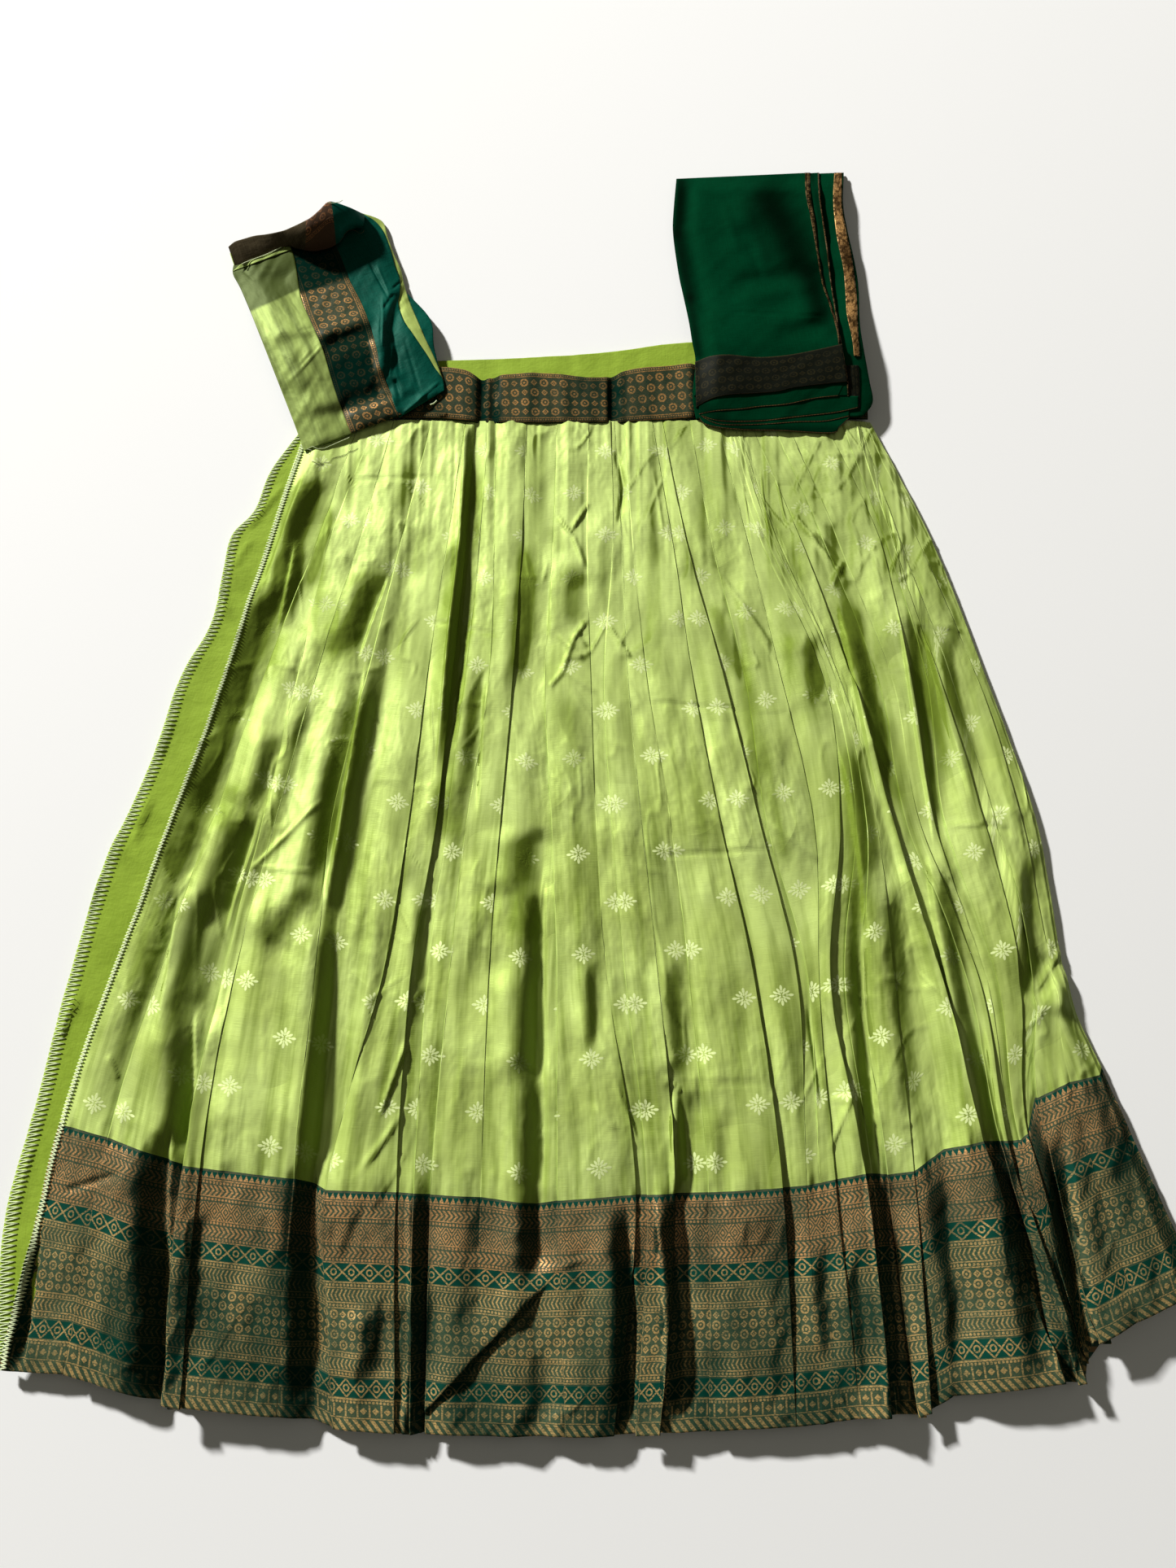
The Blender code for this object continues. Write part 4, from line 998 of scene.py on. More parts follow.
def zari(name, ground, gold, bands, height, metal, roughness=0.42, lower_gold=None, mist=0.12):
    """Figured weave from a table of bands: its gold is metal thread, its ground is dyed silk.

    mist is how much gold shows between the figures, except in the bands whose ground is clear. lower_gold is
    the gold from a third of the height down.
    """
    material, tree, sockets = new_material(name, roughness, 0.0, Specular_IOR_Level=0.08)
    uv = add(tree, "UVMap", uv_map="cloth")
    u, v, _ = add(tree, "SeparateXYZ", uv).node.outputs
    u = add(tree, "Math MULTIPLY", u, 1 / MM)
    v = add(tree, "Math MULTIPLY", v, 1 / MM)
    floats, clear = 0.0, 0.0
    for start, end, kind, pitch in bands:
        first, tall = start * height / MM, (end - start) * height / MM
        down = add(tree, "Math SUBTRACT", v, first)
        inside = add(tree, "Math COMPARE", down, tall / 2, tall / 2)
        mask = add(tree, "Math MULTIPLY", figure(tree, kind, u, down, pitch, tall), inside)
        floats = add(tree, "Math MAXIMUM", floats, mask)
        if kind in CLEAR_KINDS:
            clear = add(tree, "Math MAXIMUM", clear, inside)
    # Threads 2 mm by 1.1 mm, coarser than the real ones, and patches of 45 mm where the gold is tarnished.
    thread = drawn_noise(tree, uv, (500, 900, 1))
    patchy = add(tree, "MapRange", add(tree, "TexNoise", uv, None, 22.0, 4.0, 0.65), 0.38, 0.62, 0.25, 1.0)
    floats_seen = add(tree, "Math MULTIPLY", floats, add(tree, "MapRange", thread, 0.35, 0.6, 0.12, 1.0))
    gold_here = linear(gold)
    if lower_gold:
        below = add(tree, "MapRange", v, 0.3 * height / MM, 0.34 * height / MM)
        gold_here = add(tree, "MixRGB", below, linear(gold), linear(lower_gold))
    misty = add(tree, "Math MULTIPLY", add(tree, "Math SUBTRACT", 1.0, clear),
                add(tree, "MapRange", thread, 0.35, 0.75, 0.3 * mist, mist))
    ground_colour = add(tree, "MixRGB", misty, linear(ground), gold_here)
    floats_seen = add(tree, "Math MULTIPLY", floats_seen, add(tree, "MapRange", patchy, 0.25, 1.0, 0.35, 1.0))
    # Painted shade, and on some cloths random patches: there almost none of the gold shows, and the ground is
    # darker and has no gloss.
    shade_and_patches = add(tree, "Attribute", out=2, attribute_name="shade_and_patches")
    floats_seen = add(tree, "Math MULTIPLY", floats_seen, add(tree, "MapRange", shade_and_patches, 0.0, 1.0, 1.0, 0.05))
    ground_in_shade_and_patches = (*(0.45 * part for part in linear(ground)[:3]), 1.0)
    ground_colour = add(tree, "MixRGB", shade_and_patches, ground_colour, ground_in_shade_and_patches)
    colour = add(tree, "MixRGB", floats_seen, ground_colour, gold_here)
    shine = add(tree, "Math MULTIPLY", add(tree, "Math MULTIPLY", floats_seen, patchy), metal)
    tree.links.new(shine, sockets["Metallic"])
    tree.links.new(add(tree, "MapRange", shade_and_patches, 0.0, 0.8, 0.08, 0.0), sockets["Specular IOR Level"])
    height_here = add(tree, "Math MULTIPLY_ADD", floats, 0.00012, add(tree, "Math MULTIPLY", thread, 0.00015))
    show_weave(tree, sockets, colour, height_here)
    return material


gold_teal = zari("gold_and_teal_zari", "#0A4034", "#DFA56B", BORDER_BANDS, BORDER_HEIGHT, 0.5,
                 lower_gold="#D9B272", mist=0.13)
strip_zari = zari("gold_and_teal_strip", "#08352B", "#CC9658", STRIP_BANDS, STRIP_HEIGHT, 0.5)
reverse_zari = zari("reverse_of_the_strip", "#3E2F24", "#A87248", STRIP_BANDS, STRIP_HEIGHT, 0.1, 0.6)
voni_zari = zari("dark_zari_of_the_dupatta", "#091009", "#35301A", VONI_BANDS, STRIP_HEIGHT, 0.1, 0.65)
lace_zari = zari("gold_lace", "#2E2013", "#E0AC6A", LACE_BANDS, LACE_WIDTH, 0.5)
edging_zari = zari("gold_edging", "#1A1A10", "#A07A48", EDGING_BANDS, EDGING_WIDTH, 0.4)
print("charted", len(BORDER_BANDS), "border bands and", len(STRIP_BANDS), "strip bands")

# %% Border front
# The gold is lost in random patches, more of them below the first third, and shade is painted where the weave
# slopes from the lamp.
DULL_BELOW, SHADE_ON_SLOPES, MOST_SHADE_AND_PATCHES = 0.25, 0.8, 0.9
border_share = down_border / BORDER_HEIGHT
border_shade_and_patches = ripples(border_x, border_y, (0.5, 0, 34, 90, 51), (0.4, 0, 16, 34, 52))
border_shade_and_patches += DULL_BELOW * smooth((border_share - 0.3) / 0.25)
border_shade_and_patches = np.clip(border_shade_and_patches, 0, 0.75) + SHADE_ON_SLOPES * smooth((away_from_lamp(border) - 0.04) / 0.25)
border_points, border_lengths, border_shade_and_patches = turned_in(border, np.dstack([across_border, down_border]),
                                                       np.clip(border_shade_and_patches, 0, MOST_SHADE_AND_PATCHES), at_hem=True)
border_piece = cloth("skirt_border_front", border_points, border_lengths, gold_teal,
                     border_shade_and_patches)
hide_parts("border_front")

# %% [markdown]
# Plain cloths: the lime lining is a matt poplin, the dupatta a fine matt georgette, the sleeve panel a teal
# satin. They share one recipe of yarn noise, faint clouds of colour and soft creases, with their own sheen.


# %% Plain woven cloths
def plain_cloth(name, base, shade, roughness, metallic, crease, yarn=700, specular=0.3):
    """Plain cloth: crossed yarns, drawn coarser than the real ones, clouded colour, soft creases and painted
    shade.

    crease is their height in metres and yarn the yarns per metre.
    """
    material, tree, sockets = new_material(name, roughness, metallic, Specular_IOR_Level=specular)
    uv = add(tree, "UVMap", uv_map="cloth")
    warp, weft = (drawn_noise(tree, uv, repeats, 2.0, 0.5) for repeats in ((yarn, 60, 1), (60, yarn, 1)))
    yarns = add(tree, "Math ADD", warp, weft)
    cloud = add(tree, "TexNoise", uv, None, 14.0, 4.0, 0.6)
    mixed = add(tree, "Math ADD", add(tree, "MapRange", cloud, 0.35, 0.65, 0.0, 0.6),
                add(tree, "MapRange", yarns, 0.8, 1.2, 0.0, 0.4))
    colour = add(tree, "MixRGB", mixed, linear(base), linear(shade))
    # Painted shade: where the sheet's attribute says so, the colour turns almost black.
    shade_and_patches = add(tree, "Attribute", out=2, attribute_name="shade_and_patches")
    colour = add(tree, "MixRGB", shade_and_patches, colour, tuple(0.12 * part for part in linear(shade)))
    soft_creases = drawn_noise(tree, uv, (26, 34, 1), 4.0, shift=(4, 0, 0), turn=0.5)
    height_here = add(tree, "Math MULTIPLY", yarns, 0.00008)
    height_here = add(tree, "Math MULTIPLY_ADD", soft_creases, crease, height_here)
    show_weave(tree, sockets, colour, height_here)
    return material


lining_cloth = plain_cloth("lime_poplin", "#98B43A", "#88A42C", 0.8, 0.0, 0.0016, specular=0.2)
teal_satin = plain_cloth("teal_satin", "#025244", "#013C31", 0.55, 0.1, 0.0016, specular=0.04)
dark_green = plain_cloth("dark_green_georgette", "#003820", "#002C17", 0.85, 0.0, 0.0008, 900, 0.01)
plain_lime = satin("plain_lime_satin", "#98AB5F", "#8A9D50", "#424F1C", "#9AAA66", 5.0, with_buttas=False)
pale_thread = plain_cloth("overlock_thread", "#E4EFC8", "#CFDDAC", 0.8, 0.0, 0.0)
bright_lime = satin("under_lime_satin", "#BDD07A", "#A9BC62", "#869940", "#BDD07A", 7.0, with_buttas=False)
reverse_cloth = plain_cloth("reverse_of_the_green", "#5A503D", "#2E281A", 0.8, 0.0, 0.0012, specular=0.02)
print("made", lining_cloth.name, "and six more plain cloths")

# %% [markdown]
# The back half, its border and the back band lie under everything and keep the solids' own shape. They have
# no lengths of their own, so their finishes read the object's coordinates.


# %% Finishes for the carried-over back
def object_cloth(name, base, shade, roughness, metallic, stripe=0.0):
    """A finish on object coordinates, with level woven stripes where stripe is their spacing in metres."""
    material, tree, sockets = new_material(name, roughness, metallic)
    place = add(tree, "TexCoord", out=3)
    cloud = add(tree, "TexNoise", place, None, 20.0, 4.0, 0.6)
    mixed = add(tree, "MapRange", cloud, 0.35, 0.65, 0.0, 0.6)
    if stripe:
        bars = add(tree, "Math DIVIDE", add(tree, "SeparateXYZ", place, out=1), stripe)
        bars = add(tree, "Math LESS_THAN", add(tree, "Math FRACT", bars), 0.5)
        mixed = add(tree, "Math MAXIMUM", mixed, bars)
    colour = add(tree, "MixRGB", mixed, linear(base), linear(shade))
    yarns = drawn_noise(tree, place, (700, 700, 700), 2.0, 0.5)
    show_weave(tree, sockets, colour, add(tree, "Math MULTIPLY", yarns, 0.0001))
    return material


for node_name, finish in (
    ("skirt_back", object_cloth("lime_satin_back", "#A9C644", "#98B436", 0.46, 0.5)),
    ("border_back", object_cloth("zari_back", "#0C4436", "#7E6340", 0.45, 0.4, 0.009)),
    ("waistband_back", object_cloth("zari_band_back", "#123F33", "#6B5236", 0.45, 0.4, 0.009)),
):
    node_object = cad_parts[node_name]
    node_object.data.materials.clear()
    node_object.data.materials.append(finish)
    node_object.data.shade_smooth()
    print(node_name, "is finished as", finish.name)

# %% [markdown]
# The lining shows as a strip along the open left edge. It is a sheet between its own left edge and a line
# under the front, a little buckled where it was dragged.

# %% Lining
LINING_LEFT = (
    (-304, 332), (-334, 282), (-348, 236), (-370, 207), (-376, 168), (-384, 110), (-411, 50), (-426, -15),
    (-446, -80), (-468, -140), (-492, -260), (-507, -360), (-523, -450), (-523, -510), (-516, -578),
)
LINING_INSET = 24
LINING_HEM_STATION = 5.6
LINING_ROWS = 240


def between(left, right, down, across):
    """Plan points between two edges, each read smoothly from top to bottom, at shares down and across."""
    x0, y0 = (spline(column, down * (len(left) - 1)) for column in zip(*left))
    x1, y1 = (spline(column, down * (len(right) - 1)) for column in zip(*right))
    return lerp(x0[:, None], x1[:, None], across[None, :]), lerp(y0[:, None], y1[:, None], across[None, :])


right_stations = LINING_HEM_STATION * np.linspace(0, 1, len(LINING_LEFT))
fold_x, fold_y, _, _ = fold_lines(right_stations)
lining_right = [(x - LINING_INSET, y) for x, y in zip(fold_x[-1], fold_y[-1])]
# The first three columns are the raw edge, which turns down: shares across the sheet and fall in mm.
EDGE_SHARES, EDGE_FALL = (0, 0.0004, 0.0018), (1.3, 0.6, 0.0)
LINING_CREASES = (
    (-320, 262, -352, 214, 4, 1.6, 0.5), (-350, 200, -364, 172, 4, 1.4, 0.6),
    (-378, 150, -366, 120, 4, 1.6, 0.6), (-428, -70, -440, -118, 4, 2.6, 0.5),
    (-415, 10, -425, -30, 5, 1.5, 0.7), (-478, -262, -492, -302, 4, 2.6, 0.5),
    (-470, -150, -480, -190, 4, 1.6, 0.6), (-505, -400, -512, -450, 4, 1.6, 0.6),
    (-455, -95, -440, -130, 3, -1.6, 1.0),
)
LINING_WAVES = ((0.5, -0.3, 22, 120, 31), (0.5, 0, 40, 18, 32), (0.4, 1, 12, 24, 33))
lining_shares = np.concatenate([EDGE_SHARES, np.linspace(0.004, 0.22, 44), np.linspace(0.26, 1, 14)])
lining_x, lining_y = between(LINING_LEFT, lining_right, np.linspace(0, 1, LINING_ROWS), lining_shares)
lining_z = 0.9 + ripples(lining_x, lining_y, *LINING_WAVES) + creases(lining_x, lining_y, LINING_CREASES)
# It buckles only below the band and near its open edge.
lining_z = np.maximum(lining_z, 0.1) * smooth((330 - lining_y) / 60) * smooth((0.1 - lining_shares) / 0.04)
lining_z[:, :len(EDGE_FALL)] -= EDGE_FALL
lining = np.dstack([lining_x, lining_y, LINING_LEVEL + THIN_WALL + lining_z])
lining_lengths = np.dstack([path_length(lining, 1), path_length(lining, 0)]) * MM
lining_piece = cloth("plain_lining", lining, lining_lengths, lining_cloth)
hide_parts("lining")

# %% [markdown]
# The waistband is a strip of the figured weave, stitched over the heads of the pleats. It is stiffer than the
# satin, so it has only a few deep folds. Behind it stands the plain facing of the back's band.

# %% Waistband
WAISTBAND_TOP = (
    (-294, 396), (-230, 401), (-153, 402), (-130, 398), (-115, 387), (-95, 392), (-60, 395), (-30, 393),
    (0, 389), (20, 389), (35, 396), (50, 400), (80, 403), (110, 406), (200, 408), (296, 404),
)
WAISTBAND_FOOT = ((-298, 342), (-160, 341), (-120, 336), (-60, 335), (40, 336), (110, 341), (300, 342))
FACING_TOP = (
    (-288, 409), (-160, 413), (-100, 415), (-40, 418), (0, 421), (40, 426), (80, 433), (113, 436),
    (FACING_RIGHT_END, FACING_HIGHEST),
)
FACING_FOOT_Y = 347
# x and height of the band's cloth above the front's level: plain stretches with two deep folds.
BAND_HEIGHTS = (
    (-298, 3), (-230, 6), (-160, 8), (-127, 9.5), (-119, 9), (-115, 1.5), (-110, 1.5), (-107.5, 6.5),
    (-106, 6.5), (-103, 1.5), (-99, 2), (-94, 8), (-60, 9), (-33, 8.5), (-2, 8), (16, 9), (21, 8.5),
    (24, 1.5), (30, 2), (35, 7), (60, 8), (92, 7.5), (108, 9), (112, 8), (116, 3), (200, 6), (300, 3),
)
# Painted shade on the band where its gold turns from the lamp: x, and how much shade is painted there.
BAND_SHADE = (
    (-298, 0.6), (-158, 0.6), (-150, 0.2), (-128, 0.3), (-121, 0.6), (-115, 1.0), (-107.5, 1.0),
    (-106, 0.3), (-104, 0.3), (-102, 1.0), (-94, 0.9), (-90, 0.0), (-66, 0.1), (-61, 0.55), (-53, 0.3),
    (-34, 0.2), (-30, 0.0), (-25, 0.5), (8, 0.6), (15, 0.5), (18, 0.0), (22, 1.0), (39, 0.9), (43, 0.1),
    (50, 0.3), (59, 0.2), (66, 0.5), (75, 0.1), (84, 0.45), (91, 0.1), (104, 0.0), (112, 0.6), (298, 0.7),
)
BAND_FULLNESS, BAND_LIFT = 0.6, 1.3
# Shares up the band and how far the cloth falls there, in mm: it is turned under at its top and its foot.
BAND_SHARES = (1.02, 1.0, 0.985, 0.93, 0.82, 0.7, 0.58, 0.46, 0.34, 0.22, 0.12, 0.04, 0.0, -0.015)
BAND_FALL = (2.2, 0.7, 0.1, 0, 0, 0, 0, 0, 0, 0, 0, 0, 0.6, 2.0)


def read_line(points, x):
    """Linear reading of a line of x and y pairs."""
    table = np.array(points, float)
    return np.interp(x, table[:, 0], table[:, 1])


def soften(values, times):
    """Round off the corners of evenly spaced readings."""
    for _ in range(times):
        values = np.concatenate([values[:1], (values[:-2] + 2 * values[1:-1] + values[2:]) / 4, values[-1:]])
    return values


band_across = np.linspace(-296, 298, 420)
band_low = soften(read_line(WAISTBAND_FOOT, band_across), 40)
band_high = soften(read_line(WAISTBAND_TOP, band_across), 12)
band_height = BAND_FULLNESS * soften(read_line(BAND_HEIGHTS, band_across), 3)
band_shade_and_patches = soften(read_line(BAND_SHADE, band_across), 2)
band_shares = np.array(BAND_SHARES)[:, None]
band_y = lerp(band_low, band_high, np.minimum(band_shares, 1.0))
band_x = np.broadcast_to(band_across, band_y.shape)
band_z = band_height + BAND_LIFT + ripples(band_x, band_y, (0.5, 0, 13, 70, 41), (0.25, 0, 30, 20, 42))
band_z -= np.array(BAND_FALL)[:, None]
band = np.dstack([band_x, band_y, FRONT_LEVEL + np.maximum(band_z, LEAST_HEIGHT)])
band_down = np.broadcast_to((1 - band_shares) * STRIP_HEIGHT, band_y.shape)
band_lengths = np.dstack([path_length(band, 1) * MM, band_down])
# Random patches are added to the band's painted shade.
band_shade_and_patches = np.clip(band_shade_and_patches + 0.25 * ripple(band_x, band_y, 7, 12, 45), 0, 1)
band_piece = cloth("waistband_strip", band, band_lengths, strip_zari, band_shade_and_patches)
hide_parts("waistband_front")

# %% Facing
facing_across = np.linspace(FACING_TOP[0][0], FACING_RIGHT_END, 240)
facing_top = soften(read_line(FACING_TOP, facing_across), 30)
facing_shares = np.array([1.0, 1.0, 0.99, 0.96, 0.9, 0.8, 0.7, 0.6, 0.5, 0.3, 0.0])
facing_y = lerp(FACING_FOOT_Y, facing_top, facing_shares[:, None])
facing_x = np.broadcast_to(facing_across, facing_y.shape)
facing_z = 1.9 + ripples(facing_x, facing_y, (0.7, 0, 26, 90, 43), (0.3, 0, 9, 60, 44))
facing_z[0] = LEAST_HEIGHT
facing = np.dstack([facing_x, facing_y, LINING_LEVEL + facing_z])
facing_lengths = np.dstack([path_length(facing, 1), path_length(facing, 0)]) * MM
facing_piece = cloth("plain_facing", facing, facing_lengths, lining_cloth)
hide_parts("waistband_facing")

# %% [markdown]
# A folded bundle is a stack of layers. Each layer here is a sheet whose rim turns down onto the layer below,
# so the stack shows its edges from the side. The bundles lie on the waist and ease down to the table beyond
# it. Their outlines are read as the camera sees them, on a level 20 mm up, so a point at another height moves
# along its line of sight.

# %% What a bundle lies on, and how a layer is made
BUNDLE_LEVEL, SKIRT_LEVEL = 11.6, 9.5
BAND_LEFT_Y, BAND_RIGHT_Y, BAND_EASE = 290, 322, 56
EASE_FROM_Y, EASE_LENGTH = 418, 90
READ_LEVEL = 20.0
# A rim in from the edge: mm inward and the share of the layer's thickness that it falls.
RIM = ((0.0, 1.0), (0.0, 0.45), (0.35, 0.12), (1.1, 0.0))
LAYER_LOWEST = 0.15
# A stack's height: share at its sides and at its foot, and how far in from each it is full, in mm.
SIDE_HEIGHT, SIDE_EASE, FOOT_HEIGHT, FOOT_EASE = 0.5, 26, 0.22, 120


def bundle_floor(x, y):
    """Level that a bundle lies on: the skirt, the thicker band, then down to the table."""
    from_y = np.where(x < 0, BAND_LEFT_Y, BAND_RIGHT_Y)
    on_cloth = lerp(SKIRT_LEVEL, BUNDLE_LEVEL, smooth((y - from_y) / BAND_EASE))
    return lerp(on_cloth, 0.0, smooth((y - EASE_FROM_Y) / EASE_LENGTH))


def as_seen(x, y, z):
    """Points moved along the lines of sight, from the level where they were read to their height."""
    rise = (z - READ_LEVEL) / (CAMERA_PLACE[2] - READ_LEVEL)
    return np.dstack([x - rise * (x - CAMERA_PLACE[0]), y - rise * (y - CAMERA_PLACE[1]), z])


def rim_shares(length, count):
    """Shares along a side: four at each end for the rim, and even steps between."""
    ends = np.array([inset for inset, _ in RIM]) / length
    middle = np.linspace(ends[-1], 1 - ends[-1], count)[1:-1]
    return np.concatenate([ends, middle, 1 - ends[::-1]])


def rim_drop(rows, columns):
    """How far each point of a layer turns down, as a share of the layer's thickness."""
    fall = np.array([drop for _, drop in RIM])
    down = np.minimum(np.arange(rows), np.arange(rows)[::-1])
    side = np.minimum(np.arange(columns), np.arange(columns)[::-1])
    ring = np.minimum(down[:, None], side[None, :])
    return np.where(ring < len(fall), fall[np.minimum(ring, len(fall) - 1)], 0.0)


def layer(name, left, right, counts, top, thickness, material, place=None, woven=None, shade_and_patches=None):
    """A layer between two edges, top to bottom; top gives its height and place turns its points to the plan.

    counts are its steps across and down. woven is the width in metres of a figured strip that runs down the
    layer, and the last argument tells how much shade is painted at its points, with random patches on some.
    """
    width = math.dist(left[0], right[0])
    tall = sum(math.dist(a, b) for a, b in zip(left, left[1:]))
    across, down = rim_shares(width, counts[0]), rim_shares(tall, counts[1])
    p, q = between(left, right, down, across)
    x, y = place(p, q) if place else (p, q)
    z = bundle_floor(x, y) + top(p, q)
    points = as_seen(x, y, np.maximum(z - thickness * rim_drop(*x.shape), LAYER_LOWEST))
    u, v = path_length(points, 1) * MM, path_length(points, 0) * MM
    if woven:
        u, v = v, np.broadcast_to(across[None, :] * woven, v.shape)
    return cloth(name, points, np.dstack([u, v]), material, shade_and_patches(p, q) if shade_and_patches else None)


def crown(to_side, to_foot, thick):
    """Height of a soft stack: full in the middle, lower near its sides and least at its pressed foot."""
    at_side = lerp(SIDE_HEIGHT, 1.0, smooth(np.maximum(to_side, 0) / SIDE_EASE))
    return thick * at_side * lerp(FOOT_HEIGHT, 1.0, smooth(np.maximum(to_foot, 0) / FOOT_EASE))


def thread(name, points, width, material, slot):
    """A loose thread through plan points with heights, as a thin round tube."""
    curve = bpy.data.curves.new(name, "CURVE")
    curve.dimensions, curve.bevel_depth, curve.bevel_resolution = "3D", width / 2 * MM, 1
    line = curve.splines.new("POLY")
    line.points.add(len(points) - 1)
    for target, point in zip(line.points, points):
        target.co = (*(np.array(point) * MM + PLAN_ORIGIN), 1.0)
    shape = bpy.data.objects.new(name, curve)
    data = bpy.data.meshes.new_from_object(shape)
    data.name = name
    bpy.data.objects.remove(shape)
    bpy.data.curves.remove(curve)
    return show(name, data, material)


# %% [markdown]
# The blouse piece is one length of cloth folded small. A green body panel, a woven strip and a teal sleeve
# panel lie side by side on top, with lime and teal folds below. Its far end stands up as a turned flap with
# its brown reverse to the front, and the panels lie in its shade. The piece lies turned on the skirt, so its
# edges are read in its own frame, mm across and mm down from its upper left corner.

# %% Folded blouse piece: its frame, creases and swells
BLOUSE_CORNER, BLOUSE_TURN = (-390, 526), math.radians(-22.3)
BLOUSE_THICK = 11.0
# Where the stack's height begins: at its left, right, top and foot, in mm across and down the piece.
BLOUSE_BOUNDS = (-2, 172, -14, 244)
BLOUSE_CREASES = (
    (57, 137, 25, 157, 2.0, 2.0, 0.5), (25, 157, 10, 165, 2.5, 1.0, 0.8), (45, 137, 28, 148, 1.8, 1.0, 0.6),
    (4, 128, 10, 160, 2.2, 0.8, 0.7), (12, 128, 26, 144, 2.2, 0.8, 0.7), (40, 110, 56, 113, 1.8, -0.9, 1.0),
    (2, 135, 0, 165, 2.5, 0.8, 1.0), (36, 173, 50, 182, 1.8, -0.6, 1.0), (8, 16, 16, 34, 2.0, 0.8, 0.6),
    (20, 16, 40, 28, 3.0, -0.7, 1.0), (139, 62, 143, 108, 1.8, -1.6, 0.6),
    (146, 66, 146, 100, 1.5, 0.8, 0.8), (137, 108, 118, 160, 1.7, 1.6, 0.6),
    (133, 118, 120, 148, 1.4, -0.9, 1.0), (150, 106, 134, 120, 3.0, -2.0, 0.8),
    (133, 150, 122, 205, 2.2, -0.9, 1.0), (142, 165, 136, 225, 2.0, -0.9, 1.0),
    (128, 165, 112, 200, 2.0, 1.0, 0.8), (148, 128, 164, 120, 1.6, -1.5, 1.0),
    (152, 140, 160, 112, 1.5, 1.3, 0.6), (150, 152, 164, 160, 1.6, 1.2, 0.6),
    (151, 100, 170, 92, 1.6, -1.2, 0.8), (130, 238, 158, 226, 2.0, 1.0, 0.6),
    (112, 246, 140, 234, 2.2, 1.4, 0.7), (116, 206, 113, 228, 2.5, -1.6, 1.0),
)
BLOUSE_SWELLS = (
    (10, 110, 60, 121, 9, 2.4, 0), (18, 206, 56, 216, 8, 2.6, 0), (5, 168, 45, 178, 10, 1.3, 0),
    (20, 28, 56, 38, 9, 1.3, 0), (8, 247, 52, 247, 6, 1.6, 0), (56, 132, 114, 132, 9, 3.2, 0),
    (114, 222, 54, 222, 9, 3.4, 0), (56, 246, 110, 246, 5, 1.0, 0), (112, 196, 126, 148, 7, 3.6, 0),
    (126, 148, 153, 106, 6, 3.4, 0), (108, 226, 132, 226, 7, 1.2, 0), (112, 250, 160, 238, 6, 1.4, 0),
    (122, 214, 130, 160, 6, 1.3, 0),
)


def blouse_place(across, down):
    """Plan x and y of points of the blouse piece from mm across and down it."""
    cos, sin = math.cos(BLOUSE_TURN), math.sin(BLOUSE_TURN)
    return BLOUSE_CORNER[0] + across * cos - down * sin, BLOUSE_CORNER[1] - across * sin - down * cos


print("the blouse piece is turned by", round(math.degrees(BLOUSE_TURN), 1), "degrees")


# %% Folded blouse piece: how its layers are shaped
def blouse_layer(name, left, right, counts, level, thickness, material, shaped=1.0, woven=None,
                 shade_and_patches=None):
    """A layer of the blouse piece between two edges in its own frame; shaped is the share of its creases."""
    def top(a, d):
        near_left, near_right, near_top, foot = BLOUSE_BOUNDS
        side = np.minimum(np.minimum(a - near_left, near_right - a), d - near_top)
        height = crown(side, foot - d, BLOUSE_THICK) * level
        height += shaped * (creases(a, d, BLOUSE_CREASES) + swells(a, d, BLOUSE_SWELLS))
        return height + ripples(a, d, (0.7, 0, 24, 40, 71), (0.35, 1, 9, 22, 72))

    return layer(name, left, right, counts, top, thickness, material, blouse_place, woven, shade_and_patches)


# %% Folded blouse piece: its layers
BLOUSE_SIDE = ((2, -10), (0, 60), (0, 120), (0, 185), (0, 249))
# The folds below the panels, lowest first: level, right edge, finish and slot.
BLOUSE_FOLDS = (
    (0.20, ((150, -8), (161, 40), (163, 95), (161, 150), (160, 200), (158, 238)), teal_satin, "teal_satin"),
    (0.40, ((149, -7), (160, 40), (162, 95), (159, 150), (158, 200), (157, 236)), plain_lime, "lime_satin"),
    (0.60, ((150, -8), (163, 50), (162, 100), (176, 150), (168, 185), (161, 232)), teal_satin, "teal_satin"),
    (0.78, ((152, -5), (170, 14), (169, 36), (168, 58), (168, 80), (165, 100), (163, 122), (163, 145),
            (163, 170), (164, 198), (163, 227)), bright_lime, "lime_satin"),
)
blouse_pieces = []
for k, (level, outer, finish, slot_name) in enumerate(BLOUSE_FOLDS):
    piece = blouse_layer(f"blouse_fold_{k + 1}", BLOUSE_SIDE, outer, (44, 80), level, 2.4, finish,
                         0.85)
    blouse_pieces.append(piece)

# %% Folded blouse piece: its panels
GREEN_EDGE = (
    (66, 3), (66, 20), (63, 38), (59, 57), (56, 74), (56, 95), (57, 120), (57, 145), (55, 168), (53, 195),
    (52, 222), (52, 249),
)
# Shade is painted on the strip's gold, in the flap's shadow and wherever its weave does not face the lamp: mm
# down the piece, and how much shade is painted there.
STRIP_SHADE_ALONG = (
    (0, 1), (66, 0.97), (72, 0), (118, 0), (132, 0.97), (150, 0.9), (170, 1), (216, 0.95), (226, 0),
    (240, 0.1), (249, 0.8),
)
# Between the two bright places a highlight is painted on the strip's right edge: its start and end down the
# piece, how far across it runs at 150 mm down, how far it slants, and how much of the painted shade it takes
# away.
PAINTED_HIGHLIGHT_EDGE = (147, 220, 103, 0.16, 0.9)


